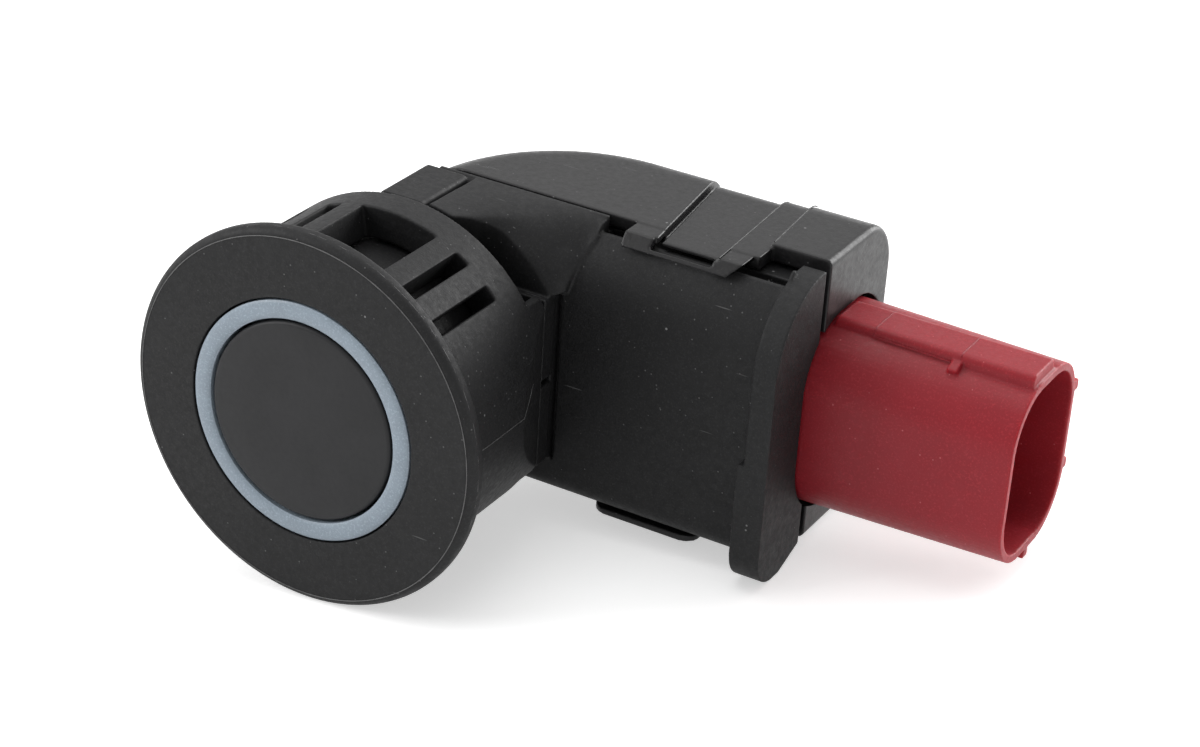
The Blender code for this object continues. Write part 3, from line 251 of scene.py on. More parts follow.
def turned(name: str, profile: Sequence[Point], steps: int = 240) -> bpy.types.Object:
    """A solid turned about the Y axis.

    Args:
        name: Name of the solid.
        profile: Pairs of radius and depth behind the face, closed along the bore or the axis.
        steps: Number of steps round the axis.

    Returns:
        The closed solid.
    """
    bm = bmesh.new()
    on_axis = profile[0][0] == 0.0 and profile[-1][0] == 0.0
    rings = []
    for radius, depth in profile:
        if radius == 0.0:
            rings.append([bm.verts.new((0.0, depth, 0.0))] * steps)
            continue
        ring = []
        for step in range(steps):
            angle = math.tau * step / steps
            ring.append(bm.verts.new((radius * math.cos(angle), depth, radius * math.sin(angle))))
        rings.append(ring)
    spans = list(zip(rings, rings[1:]))
    if not on_axis:
        spans.append((rings[-1], rings[0]))
    for near, far in spans:
        for step in range(steps):
            follow = (step + 1) % steps
            corners = [near[step], near[follow], far[follow], far[step]]
            bm.faces.new(list(dict.fromkeys(corners)))
    bmesh.ops.recalc_face_normals(bm, faces=bm.faces)
    return mesh_object(name, bm)


def lean_side(obj: bpy.types.Object, x: float, start: float, slant: float) -> None:
    """Leans the side of a form.

    Args:
        obj: The form, changed in place.
        x: Place of the side.
        start: Depth at which the side stays where it is.
        slant: Share of the further depth by which it leans to the left.
    """
    for vert in obj.data.vertices:
        if abs(vert.co.x - x) < TINY:
            vert.co.x -= slant * (vert.co.y - start)


def bevel_edges(obj: bpy.types.Object, chosen: Callable[[bmesh.types.BMEdge], bool], radius: float,
                segments: int) -> None:
    """Rounds some edges of a form.

    Args:
        obj: The form, changed in place.
        chosen: Tells whether an edge is rounded.
        radius: Radius of the round.
        segments: Straight steps in it.
    """
    bm = bmesh.new()
    bm.from_mesh(obj.data)
    rim = [edge for edge in bm.edges if chosen(edge)]
    bmesh.ops.bevel(bm, geom=rim, offset=radius, segments=segments, profile=0.5, affect="EDGES")
    bm.to_mesh(obj.data)
    bm.free()


def combine(target: bpy.types.Object, tool: bpy.types.Object, way: Cut) -> None:
    """Adds a solid to another or takes it away, as a modifier that is still live.

    Args:
        target: Solid that is changed.
        tool: Solid that is added or taken away.
        way: How the two are combined.
    """
    modifier = target.modifiers.new(tool.name, "BOOLEAN")
    modifier.operation = way.value
    modifier.solver = "EXACT"
    modifier.object = tool
    tool.hide_render = True


def apply_all(obj: bpy.types.Object) -> None:
    """Replaces an object's mesh by its evaluated one and clears its modifiers and tools.

    Args:
        obj: The object, changed in place.
    """
    tools = [modifier.object for modifier in obj.modifiers if modifier.type == "BOOLEAN"]
    bpy.context.view_layer.update()
    evaluated = obj.evaluated_get(bpy.context.evaluated_depsgraph_get())
    mesh = bpy.data.meshes.new_from_object(evaluated)
    obj.modifiers.clear()
    obj.data = mesh
    for tool in tools:
        bpy.data.objects.remove(tool, do_unlink=True)


@dataclass(frozen=True)
class Rounding:
    """How finely a moulding's edges are rounded.

    Attributes:
        voxel: Size of the fine grid that fuses the forms, in millimetres.
        passes: Smoothing passes over it.
        triangles: Most triangles that the piece may keep.
    """

    voxel: float = 0.085
    passes: int = 5
    triangles: int = 190_000

    def apply(self, obj: bpy.types.Object) -> None:
        """Fuses the forms of a piece and rounds every edge a little.

        Args:
            obj: The piece, changed in place.
        """
        apply_all(obj)
        remesh = obj.modifiers.new("fuse", "REMESH")
        remesh.mode = "VOXEL"
        remesh.voxel_size = self.voxel * 1.0
        soften = obj.modifiers.new("soften", "SMOOTH")
        soften.factor = 0.5
        soften.iterations = self.passes
        apply_all(obj)
        count = sum(len(face.vertices) - 2 for face in obj.data.polygons)
        if count > self.triangles:
            thin = obj.modifiers.new("thin", "DECIMATE")
            thin.ratio = self.triangles / count
            apply_all(obj)
        LOG.info("%s: %d triangles before thinning", obj.name, count)


# Material graphs

def shade(colour: Sequence[float], factor: float, lift: float = 0.0) -> tuple[float, ...]:
    """A colour made lighter or darker."""
    return tuple(min(1.0, channel * factor + lift) for channel in colour)


class NodeWriter:
    """Adds and joins the nodes of one tree."""

    def __init__(self, tree: bpy.types.NodeTree) -> None:
        """Keeps the tree that it writes."""
        self.tree = tree

    def add(self, kind: str, values: Mapping[str | int, object] | None = None,
            **settings: object) -> bpy.types.Node:
        """Adds a node.

        Args:
            kind: Type of the node.
            values: Values of its input sockets, by their names or numbers.
            settings: Its properties.

        Returns:
            The new node.
        """
        node = self.tree.nodes.new(kind)
        for key, value in settings.items():
            setattr(node, key, value)
        for key, value in (values or {}).items():
            node.inputs[key].default_value = value
        return node

    def link(self, source: bpy.types.NodeSocket, target: bpy.types.NodeSocket) -> None:
        """Joins two sockets."""
        self.tree.links.new(source, target)

    def remap(self, value: bpy.types.NodeSocket, low: float, high: float,
              to_low: float, to_high: float) -> bpy.types.NodeSocket:
        """Maps one range to another and clamps the result.

        Args:
            value: The value.
            low: Start of its range.
            high: End of its range.
            to_low: Result at the start.
            to_high: Result at the end.

        Returns:
            The mapped value.
        """
        node = self.add("ShaderNodeMapRange", {"From Min": low, "From Max": high,
                                               "To Min": to_low, "To Max": to_high})
        self.link(value, node.inputs["Value"])
        return node.outputs["Result"]

    def math(self, operation: str, first: bpy.types.NodeSocket,
             second: bpy.types.NodeSocket | float) -> bpy.types.NodeSocket:
        """Works out a result of two values.

        Args:
            operation: Kind of sum.
            first: First value.
            second: Second value, which may be a plain number.

        Returns:
            The result.
        """
        node = self.add("ShaderNodeMath", operation=operation)
        self.link(first, node.inputs[0])
        if isinstance(second, (int, float)):
            node.inputs[1].default_value = second
        else:
            self.link(second, node.inputs[1])
        return node.outputs[0]


class Graph(NodeWriter):
    """Writes the node tree of one procedural material."""

    def __init__(self, name: str) -> None:
        """Starts a material with its Principled shader and object coordinates.

        Args:
            name: Name of the material.
        """
        self.material = bpy.data.materials.new(name)
        self.material.use_nodes = True
        super().__init__(self.material.node_tree)
        self.shader = self.tree.nodes["Principled BSDF"]
        self.place = self.add("ShaderNodeTexCoord").outputs["Object"]

    def set(self, **values: object) -> None:
        """Sets the shader's own sockets, named with underscores for spaces."""
        for key, value in values.items():
            self.shader.inputs[key.replace("_", " ")].default_value = value

    def paint(self, colour: bpy.types.NodeSocket) -> None:
        """Gives the shader its base colour."""
        self.link(colour, self.shader.inputs["Base Color"])

    def tone(self, pattern: bpy.types.NodeSocket, dark: Colour, light: Colour) -> bpy.types.NodeSocket:
        """Blends two tones by the middle range of a pattern."""
        return self.blend(self.remap(pattern, 0.35, 0.65, 0.0, 1.0), dark, light)

    def roughen(self, pattern: bpy.types.NodeSocket, smooth: float, rough: float) -> bpy.types.NodeSocket:
        """Gives the shader a roughness that follows a pattern.

        Args:
            pattern: The pattern.
            smooth: Roughness where it is low.
            rough: Roughness where it is high.

        Returns:
            The roughness.
        """
        value = self.remap(pattern, 0.3, 0.7, smooth, rough)
        self.link(value, self.shader.inputs["Roughness"])
        return value

    def noise(self, scale: float, detail: float = 2.0, roughness: float = 0.5,
              stretch: Sequence[float] = (1.0, 1.0, 1.0)) -> bpy.types.NodeSocket:
        """Smooth noise.

        Args:
            scale: Features to the metre.
            detail: Octaves.
            roughness: Weight of the finer octaves.
            stretch: Scale of each axis before the noise.

        Returns:
            The noise's value, near 0.5 on average.
        """
        mapping = self.add("ShaderNodeMapping", {"Scale": stretch})
        self.link(self.place, mapping.inputs["Vector"])
        node = self.add("ShaderNodeTexNoise", {"Scale": scale, "Detail": detail, "Roughness": roughness})
        self.link(mapping.outputs["Vector"], node.inputs["Vector"])
        return node.outputs["Fac"]

    def specks(self, scale: float, size: float, share: float, turn: Sequence[float] = (0.0, 0.0, 0.0),
               stretch: Sequence[float] = (1.0, 1.0, 1.0)) -> bpy.types.NodeSocket:
        """Small separate spots or strokes.

        Args:
            scale: Cells to the metre.
            size: Radius of a spot as a part of its cell.
            share: Part of the cells that hold a spot.
            turn: Turn of the cells about the axes, in degrees.
            stretch: Scale of each axis, which draws spots out into strokes.

        Returns:
            One in a spot and zero between the spots.
        """
        angles = [math.radians(angle) for angle in turn]
        mapping = self.add("ShaderNodeMapping", {"Rotation": angles, "Scale": stretch})
        self.link(self.place, mapping.inputs["Vector"])
        node = self.add("ShaderNodeTexVoronoi", {"Scale": scale})
        self.link(mapping.outputs["Vector"], node.inputs["Vector"])
        near = self.remap(node.outputs["Distance"], size, size * 0.6, 0.0, 1.0)
        split = self.add("ShaderNodeSeparateColor")
        self.link(node.outputs["Color"], split.inputs["Color"])
        chosen = self.math("LESS_THAN", split.outputs["Red"], share)
        return self.math("MULTIPLY", near, chosen)

    def blend(self, factor: bpy.types.NodeSocket, first: object, second: object) -> bpy.types.NodeSocket:
        """Mixes two colours, each a triple or a socket, by a factor.

        Args:
            factor: Share of the second colour.
            first: First colour.
            second: Second colour.

        Returns:
            The mixed colour.
        """
        node = self.add("ShaderNodeMix", data_type="RGBA")
        self.link(factor, node.inputs["Factor"])
        for index, colour in ((6, first), (7, second)):
            if isinstance(colour, bpy.types.NodeSocket):
                self.link(colour, node.inputs[index])
            else:
                node.inputs[index].default_value = (*colour, 1.0)
        return node.outputs[2]

    def relief(self, *layers: tuple[bpy.types.NodeSocket, float, float]) -> None:
        """Chains bumps on the shader's normal.

        Args:
            layers: For each layer its height, strength and depth in metres.
        """
        normal = None
        for height, strength, depth in layers:
            node = self.add("ShaderNodeBump", {"Strength": strength, "Distance": depth})
            self.link(height, node.inputs["Height"])
            if normal is not None:
                self.link(normal, node.inputs["Normal"])
            normal = node.outputs["Normal"]
        self.link(normal, self.shader.inputs["Normal"])


@dataclass(frozen=True)
class FineLine:
    """Thin uneven lip of plastic along a path, made by a node tree.

    Attributes:
        name: Name of the piece.
        path: Points of its middle, in millimetres about the face.
        radius: Mean radius of the lip.
        wobble: Share by which the radius varies.
        seed: Shift of the noise that varies it.
        closed: Whether the last point joins the first.
        highlight_and_wear: Whether it takes the paler edge finish, a painted highlight for the light caught
            on an edge, with some rubbing wear.
        step: Distance between the points of the swept path.
        waves: Features of the noise to the millimetre.
        sides: Sides of the lip's cross section.
    """

    name: str
    path: Sequence[Sequence[float]]
    radius: float
    wobble: float = 0.5
    seed: float = 0.0
    closed: bool = False
    highlight_and_wear: bool = False
    step: float = 0.12
    waves: float = 1.6
    sides: int = 8

    def tree(self, material: bpy.types.Material) -> bpy.types.GeometryNodeTree:
        """Node tree that turns the path into a solid lip.

        Args:
            material: Material of the lip.

        Returns:
            The node tree.
        """
        tree = bpy.data.node_groups.new(f"{self.name}_tree", "GeometryNodeTree")
        sockets = tree.interface
        sockets.new_socket(name="Geometry", in_out="INPUT", socket_type="NodeSocketGeometry")
        for name in ("Radius", "Wobble", "Seed"):
            sockets.new_socket(name=name, in_out="INPUT", socket_type="NodeSocketFloat")
        sockets.new_socket(name="Geometry", in_out="OUTPUT", socket_type="NodeSocketGeometry")
        nodes = NodeWriter(tree)
        start = nodes.add("NodeGroupInput").outputs
        curve = nodes.add("GeometryNodeMeshToCurve")
        even = nodes.add("GeometryNodeResampleCurve", {"Length": self.step}, mode="LENGTH")
        noise = nodes.add("ShaderNodeTexNoise", {"Scale": self.waves}, noise_dimensions="4D")
        vary = nodes.add("ShaderNodeMath", {2: 1.0}, operation="MULTIPLY_ADD")
        section = nodes.add("GeometryNodeCurvePrimitiveCircle", {"Resolution": self.sides, "Radius": 1.0})
        sweep = nodes.add("GeometryNodeCurveToMesh", {"Fill Caps": True})
        real = nodes.add("GeometryNodeRealizeInstances")
        dress = nodes.add("GeometryNodeSetMaterial", {"Material": material})
        end = nodes.add("NodeGroupOutput")
        nodes.link(start["Geometry"], curve.inputs["Mesh"])
        nodes.link(curve.outputs["Curve"], even.inputs["Curve"])
        nodes.link(start["Seed"], noise.inputs["W"])
        nodes.link(nodes.math("SUBTRACT", noise.outputs[0], 0.5), vary.inputs[0])
        nodes.link(start["Wobble"], vary.inputs[1])
        nodes.link(even.outputs["Curve"], sweep.inputs["Curve"])
        nodes.link(section.outputs["Curve"], sweep.inputs["Profile Curve"])
        nodes.link(nodes.math("MULTIPLY", vary.outputs[0], start["Radius"]), sweep.inputs["Scale"])
        nodes.link(sweep.outputs["Mesh"], real.inputs["Geometry"])
        nodes.link(real.outputs["Geometry"], dress.inputs["Geometry"])
        nodes.link(dress.outputs["Geometry"], end.inputs["Geometry"])
        return tree

    def build(self, shop: "Workshop", slot: Slot) -> None:
        """Sweeps the lip, turns it into a plain mesh and puts it in its place.

        Args:
            shop: Workshop that places and dresses the pieces.
            slot: Material slot of the lip.
        """
        mesh = bpy.data.meshes.new(self.name)
        count = len(self.path)
        edges = [(index, index + 1) for index in range(count - 1)]
        if self.closed:
            edges.append((count - 1, 0))
        mesh.from_pydata([tuple(point) for point in self.path], edges, [])
        obj = link_object(self.name, mesh)
        # A lip with the paler edge finish takes a light grey material that paints a highlight along the
        # edge, with some wear, instead of its slot's finish.
        material = shop.highlight_and_wear if self.highlight_and_wear else shop.materials[slot]
        tree = self.tree(material)
        modifier = obj.modifiers.new("sweep", "NODES")
        modifier.node_group = tree
        values = {"Radius": self.radius, "Wobble": self.wobble * 2.0, "Seed": self.seed}
        for item in tree.interface.items_tree:
            if item.in_out == "INPUT" and item.name in values:
                modifier[item.identifier] = values[item.name]
        apply_all(obj)
        bm = bmesh.new()
        bm.from_mesh(obj.data)
        bmesh.ops.recalc_face_normals(bm, faces=bm.faces)
        bm.to_mesh(obj.data)
        bm.free()
        LOG.info("%s swept along %d points", self.name, count)
        shop.finish(obj, slot)
        obj.data.materials[0] = material


@dataclass(frozen=True)
class MouldedPlastic:
    """Matte or satin moulded plastic with a fine spark-eroded grain and a little dust.

    Attributes:
        name: Name of the finish.
        colour: Linear base colour.
        roughness: Mean roughness.
        specular: Specular level.
        grain: Depth of the grain in metres.
        dust: Part of the surface's cells that hold a speck of dust.
        glow: Share of light that scatters through the wall.
        scratches: Strength of the fine handling marks.
        cloud: How far broad clouds change the tone.
        cloud_scale: Clouds to the metre.
        fine_scale: Fine grains to the metre.
        coarse_scale: Coarse grains to the metre.
    """

    name: str
    colour: Colour
    roughness: float
    specular: float = 0.35
    grain: float = 0.00001
    dust: float = 0.05
    glow: float = 0.0
    scratches: float = 0.0
    cloud: float = 0.12
    cloud_scale: float = 240.0
    fine_scale: float = 6500.0
    coarse_scale: float = 2300.0

    def material(self) -> bpy.types.Material:
        """Builds the material.

        Returns:
            The finished material.
        """
        graph = Graph(self.name)
        cloudy = graph.noise(self.cloud_scale, 4.0, 0.6)
        fine = graph.noise(self.fine_scale, 2.0, 0.7)
        coarse = graph.noise(self.coarse_scale, 3.0, 0.6)
        tone = graph.tone(cloudy, shade(self.colour, 1.0 - self.cloud), shade(self.colour, 1.0 + self.cloud))
        mottled = graph.blend(graph.remap(fine, 0.52, 0.78, 0.0, 0.8), tone, shade(self.colour, 1.6, 0.010))
        pale = shade(self.colour, 2.0, 0.16)
        dusty = graph.blend(self.dusting(graph), mottled, pale)
        graph.paint(dusty)
        rough = graph.roughen(coarse, self.roughness - 0.07, self.roughness + 0.09)
        layers = [(coarse, 0.45, self.grain * 3.0), (fine, 0.6, self.grain * 1.5)]
        if self.scratches > 0.0:
            marks = self.marks(graph)
            highlight_and_wear = graph.math("MULTIPLY", marks, self.scratches)
            graph.link(graph.math("SUBTRACT", rough, highlight_and_wear), graph.shader.inputs["Roughness"])
            layers.append((marks, 0.5, 0.00002))
            graph.paint(graph.blend(graph.math("MULTIPLY", marks, self.scratches * 2.5), dusty, pale))
        graph.set(Specular_IOR_Level=self.specular)
        if self.glow > 0.0:
            graph.set(Subsurface_Weight=self.glow, Subsurface_Scale=0.0014,
                      Subsurface_Radius=(1.0, 0.16, 0.16))
        graph.relief(*layers)
        return graph.material

    def dusting(self, graph: Graph) -> bpy.types.NodeSocket:
        """Specks of dust in two sizes.

        Args:
            graph: Graph of the material.

        Returns:
            One on a speck and zero elsewhere.
        """
        large = graph.specks(720.0, 0.075, self.dust)
        small = graph.specks(2100.0, 0.15, self.dust * 1.4)
        return graph.math("MAXIMUM", large, graph.math("MULTIPLY", small, 0.45))

    def marks(self, graph: Graph) -> bpy.types.NodeSocket:
        """Short fine handling scratches in three directions.

        Args:
            graph: Graph of the material.

        Returns:
            One on a scratch and zero elsewhere.
        """
        total = None
        for turn in ((20.0, 35.0, 50.0), (-40.0, 10.0, 75.0), (65.0, -30.0, 15.0)):
            strokes = graph.specks(2600.0, 0.10, 0.10, turn, (0.045, 1.0, 0.6))
            total = strokes if total is None else graph.math("MAXIMUM", total, strokes)
        return total


@dataclass(frozen=True)
class Silicone:
    """Blue-grey silicone rubber with a powdery bloom of fine pale and dark specks."""

    name: str = "silicone_rubber"
    colour: Colour = (0.235, 0.285, 0.335)
    roughness: float = 0.42

    def material(self) -> bpy.types.Material:
        """Builds the material.

        Returns:
            The finished material.
        """
        graph = Graph(self.name)
        cloudy = graph.noise(500.0, 4.0, 0.6)
        fine = graph.noise(6000.0, 2.0, 0.7)
        tone = graph.tone(cloudy, shade(self.colour, 0.93), shade(self.colour, 1.07))
        graph.paint(graph.blend(graph.remap(fine, 0.52, 0.7, 0.0, 0.55), tone, shade(self.colour, 1.7)))
        graph.roughen(cloudy, self.roughness - 0.06, self.roughness + 0.1)
        graph.relief((cloudy, 0.3, 0.00004), (fine, 0.5, 0.00001))
        return graph.material


@dataclass(frozen=True)
class MembranePaint:
    """Matte black paint with the fine orange-peel of a sprayed coat."""

    name: str = "sprayed_membrane"
    colour: Colour = (0.010, 0.010, 0.011)
    roughness: float = 0.5

    def material(self) -> bpy.types.Material:
        """Builds the material.

        Returns:
            The finished material.
        """
        graph = Graph(self.name)
        peel = graph.noise(2600.0, 2.0, 0.5)
        cloudy = graph.noise(300.0, 3.0, 0.6)
        tone = graph.tone(cloudy, self.colour, shade(self.colour, 1.3))
        graph.paint(graph.blend(graph.specks(1300.0, 0.07, 0.03), tone, (0.12, 0.12, 0.12)))
        graph.roughen(peel, self.roughness - 0.04, self.roughness + 0.05)
        graph.set(Specular_IOR_Level=0.27)
        graph.relief((peel, 0.4, 0.000012))
        return graph.material


@dataclass(frozen=True)
class PlainMatter:
    """Finish of a hidden piece: ceramic, foam, resin, laminate or metal, each with its own grain.

    Attributes:
        name: Name of the finish.
        colour: Linear base colour.
        roughness: Mean roughness.
        metallic: One for a metal.
        scale: Grains to the metre.
        depth: Depth of the grain in metres.
        contrast: How far the grain darkens the colour.
        stretch: Scale of each axis of the grain.
    """

    name: str
    colour: Colour
    roughness: float
    metallic: float = 0.0
    scale: float = 2500.0
    depth: float = 0.00001
    contrast: float = 0.3
    stretch: tuple[float, float, float] = (1.0, 1.0, 1.0)

    def material(self) -> bpy.types.Material:
        """Builds the material.

        Returns:
            The finished material.
        """
        graph = Graph(self.name)
        grain = graph.noise(self.scale, 3.0, 0.6, self.stretch)
        graph.paint(graph.tone(grain, shade(self.colour, 1.0 - self.contrast), self.colour))
        graph.roughen(grain, self.roughness - 0.05, self.roughness + 0.08)
        graph.set(Metallic=self.metallic)
        graph.relief((grain, 0.4, self.depth))
        return graph.material


FINISHES = {
    Slot.BLACK: MouldedPlastic("black_moulding", (0.0085, 0.0085, 0.0090), 0.56, 0.23, 0.000014, 0.12,
                               scratches=0.16),
    Slot.COVER: MouldedPlastic("cover_moulding", (0.0080, 0.0077, 0.0082), 0.36, 0.28, 0.000008, 0.10,
                               scratches=0.08),
    Slot.SILICONE: Silicone(),
    Slot.MEMBRANE: MembranePaint(),
    Slot.RED: MouldedPlastic("red_moulding", (0.265, 0.014, 0.022), 0.42, 0.24, 0.000006, 0.06, 0.45,
                             cloud=0.03),
    Slot.CERAMIC: PlainMatter("fired_ceramic", (0.62, 0.56, 0.42), 0.5),
    Slot.FOAM: PlainMatter("absorbing_foam", (0.10, 0.10, 0.11), 0.95, 0.0, 3200.0, 0.00015, 0.6),
    Slot.TIN: PlainMatter("tin_plating", (0.72, 0.72, 0.70), 0.3, 1.0, 1800.0, 0.000004, 0.15,
                          (0.2, 1.0, 1.0)),
    Slot.BOARD: PlainMatter("board_laminate", (0.02, 0.16, 0.06), 0.42, 0.0, 1500.0, 0.00001, 0.35,
                            (1.0, 1.0, 0.4)),
    Slot.FERRITE: PlainMatter("sintered_ferrite", (0.05, 0.05, 0.055), 0.6),
    Slot.COPPER: PlainMatter("wound_copper", (0.72, 0.30, 0.12), 0.35, 1.0, 5000.0, 0.00006, 0.5,
                             (0.1, 1.0, 0.1)),
    Slot.RESIN: PlainMatter("moulding_resin", (0.02, 0.02, 0.02), 0.5, 0.0, 4000.0),
    Slot.ALUMINIUM: PlainMatter("drawn_aluminium", (0.75, 0.76, 0.77), 0.35, 1.0, 2000.0, 0.000004,
                                0.15, (1.0, 0.1, 1.0)),
}

# Light grey for the fine lips on the disc's rim, the sleeve's parting line and the tongue: a painted
# highlight standing in for light caught on these edges, with some rubbing wear.
HIGHLIGHT_AND_WEAR_EDGE = MouldedPlastic("highlight_and_wear_edge", (0.085, 0.085, 0.085), 0.42, 0.5, 0.000012, 0.0)


class Workshop:
    """Keeps the materials and puts finished pieces in their place."""

    def __init__(self) -> None:
        """Reads the centre of the face from the frame and makes the materials."""
        low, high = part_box("bezel")
        self.origin = Vector(((low.x + high.x) / 2, low.y, (low.z + high.z) / 2))
        self.materials = {slot: finish.material() for slot, finish in FINISHES.items()}
        # Material of the pale lips: a painted highlight along edges, with some wear.
        self.highlight_and_wear = HIGHLIGHT_AND_WEAR_EDGE.material()

    def finish(self, obj: bpy.types.Object, slot: Slot, *nodes: str) -> bpy.types.Object:
        """Places and dresses a finished piece and hides the solids of the frame that it stands for.

        Args:
            obj: The piece, in millimetres about the face.
            slot: Material slot it takes its finish from.
            nodes: Solids of the frame that it stands for.

        Returns:
            The same object.
        """
        obj.data.transform(Matrix.Translation(self.origin) @ Matrix.Scale(MM, 4))
        obj.data.materials.clear()
        obj.data.materials.append(self.materials[slot])
        obj.data.shade_smooth()
        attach(obj, BODY)
        if nodes:
            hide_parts(*nodes)
        LOG.info("%s finished as %s", obj.name, slot.value)
        return obj

    def dress(self, node: str, slot: Slot) -> None:
        """Gives a solid of the frame its finish, as it is.

        Args:
            node: Name of the solid.
            slot: Material slot it takes its finish from.
        """
        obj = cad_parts[node]
        obj.data.materials.clear()
        obj.data.materials.append(self.materials[slot])
        LOG.info("%s dressed as %s", node, slot.value)


@dataclass
class Face:
    """Bezel, silicone ring and transducer cup, all turned about the Y axis."""

    disc_radius: float = 14.0
    disc_thickness: float = 1.3
    front_round: float = 0.7
    rear_round: float = 0.3
    sleeve_radius: float = 12.3
    sleeve_wall: float = 2.4
    sleeve_end: float = 12.33
    window_front: float = 3.0
    window_back: float = 9.7
    window_centre: float = 6.0
    wide_window: float = 29.0
    slot_angle: float = 5.6
    slot_offsets: tuple[float, float] = (25.5, 39.7)
    tongue_inset: float = 9.6
    tongue_end: float = 14.0
    tongue_tip: float = 10.6
    tongue_taper_start: float = 9.0
    tongue_half: float = 6.9
    ring_face_radius: float = 8.86
    ring_gap: float = 0.15
    ring_bore: float = 7.55
    ring_body_radius: float = 8.3
    ring_depth: float = 9.4
    ring_crown: float = 0.11
    ring_dip: float = 0.06
    ring_slope: float = 0.3
    ring_steps: int = 16
    round_steps: int = 256
    cup_radius: float = 7.35
    cup_depth: float = 9.0
    cup_wall: float = 1.3
    membrane: float = 0.8
    cup_round: float = 0.3
    overrun: float = 2.0

    def bezel_profile(self) -> list[Point]:
        """Profile of the disc and its sleeve.

        Returns:
            Pairs of radius and depth.
        """
        bore = self.ring_face_radius + self.ring_gap
        sleeve_bore = self.sleeve_radius - self.sleeve_wall
        front = (self.disc_radius - self.front_round, self.front_round)
        rear = (self.disc_radius - self.rear_round, self.disc_thickness - self.rear_round)
        profile = [(bore, 0.0)]
        profile += arc(front, self.front_round, -90.0, 0.0)
        profile += arc(rear, self.rear_round, 0.0, 90.0, 5)
        profile += [(self.sleeve_radius, self.disc_thickness), (self.sleeve_radius, self.tongue_end)]
        profile += [(sleeve_bore, self.tongue_end), (sleeve_bore, self.disc_thickness)]
        return profile + [(bore, self.disc_thickness)]

    def window(self, name: str, centre: float, width: float) -> bpy.types.Object:
        """Tool that cuts one window through the sleeve, its angles from the top towards +X.

        Args:
            name: Name of the tool.
            centre: Angle of its middle.
            width: Angle that it spans.

        Returns:
            The tool.
        """
        inner = self.sleeve_radius - self.sleeve_wall - self.overrun / 2
        outer = self.sleeve_radius + self.overrun
        steps = max(2, round(width))
        start = 90.0 - centre - width / 2
        end = 90.0 - centre + width / 2
        outline = arc((0.0, 0.0), outer, start, end, steps)
        outline += arc((0.0, 0.0), inner, end, start, steps)
        return prism(name, outline, self.window_front, self.window_back, Axis.Y)

    def taper_slope(self) -> float:
        """How far the tongue's outer side comes in for each step back."""
        return (self.sleeve_radius - self.tongue_tip) / (self.tongue_end - self.tongue_taper_start)

    def taper(self) -> bpy.types.Object:
        """Tool that takes the outer side of the tongue in towards its tip.

        Returns:
            The tool.
        """
        slope = self.taper_slope()
        start = self.tongue_taper_start - self.overrun
        end = self.tongue_end + self.overrun
        wide = self.sleeve_radius + 2 * self.overrun
        outline = [(self.sleeve_radius + slope * self.overrun, start)]
        outline += [(self.sleeve_radius - slope * (end - self.tongue_taper_start), end)]
        outline += [(wide, end), (wide, start)]
        return prism("taper", outline, -self.sleeve_radius, self.sleeve_radius, Axis.Z)

    def build_bezel(self, shop: Workshop) -> None:
        """Turns the bezel, cuts its windows and rounds it.

        Args:
            shop: Workshop that places and dresses the pieces.
        """
        bezel = turned("bezel_moulding", self.bezel_profile())
        reach = self.sleeve_radius + self.overrun
        tools = [block("trim", (-reach, self.sleeve_end, -reach),
                       (self.tongue_inset, self.tongue_end + self.overrun, reach)), self.taper()]
        for name, low, high in (("above", self.tongue_half, reach), ("below", -reach, -self.tongue_half)):
            tools.append(block(f"trim_{name}", (-reach, self.sleeve_end, low),
                               (reach, self.tongue_end + self.overrun, high)))
        tools.append(self.window("wide_window", self.window_centre, self.wide_window))
        for offset in self.slot_offsets:
            for sign in (-1.0, 1.0):
                centre = self.window_centre + sign * offset
                tools.append(self.window(f"slot_{centre:.0f}", centre, self.slot_angle))
        for tool in tools:
            combine(bezel, tool, Cut.TAKE)
        Rounding().apply(bezel)
        shop.finish(bezel, Slot.BLACK, "bezel")

    def build_ring(self, shop: Workshop) -> None:
        """Turns the silicone ring with its crowned, softly edged face.

        Args:
            shop: Workshop that places and dresses the pieces.
        """
        lip = self.disc_thickness
        middle = (self.ring_bore + self.ring_face_radius) / 2
        half = (self.ring_face_radius - self.ring_bore) / 2
        profile = []
        for step in range(self.ring_steps + 1):
            share = -1.0 + 2.0 * step / self.ring_steps
            height = self.ring_crown * (1.0 - abs(share) ** 2.5)
            profile.append((middle + half * share, -height + self.ring_dip * abs(share) ** 6))
        profile += [(self.ring_face_radius, lip), (self.ring_body_radius, lip + self.ring_slope)]
        profile += [(self.ring_body_radius, self.ring_depth), (self.ring_bore, self.ring_depth)]
        ring = turned("silicone_ring", profile, self.round_steps)
        shop.finish(ring, Slot.SILICONE, "decoupling_ring")
        ring.data.set_sharp_from_angle(angle=SHARP_ANGLE)

    def build_cup(self, shop: Workshop) -> None:
        """Turns the cup whose painted front is the membrane.

        Args:
            shop: Workshop that places and dresses the pieces.
        """
        bore = self.cup_radius - self.cup_wall
        edge = (self.cup_radius - self.cup_round, self.cup_round)
        profile = [(0.0, 0.0), (self.cup_radius * 0.6, 0.0)] + arc(edge, self.cup_round, -90.0, 0.0, 6)
        profile += [(self.cup_radius, self.cup_depth), (bore, self.cup_depth)]
        profile += [(bore, self.membrane), (0.0, self.membrane)]
        cup = turned("membrane_cup", profile, self.round_steps)
        shop.finish(cup, Slot.MEMBRANE, "transducer_cup")
        cup.data.set_sharp_from_angle(angle=SHARP_ANGLE)

    def circle(self, radius: float, depth: float) -> list[Sequence[float]]:
        """Points of a circle about the Y axis.

        Args:
            radius: Radius of the circle.
            depth: Its depth behind the face.

        Returns:
            The points, the first of them not repeated.
        """
        steps = 240
        angles = [math.tau * step / steps for step in range(steps)]
        return [(radius * math.cos(angle), depth, radius * math.sin(angle)) for angle in angles]

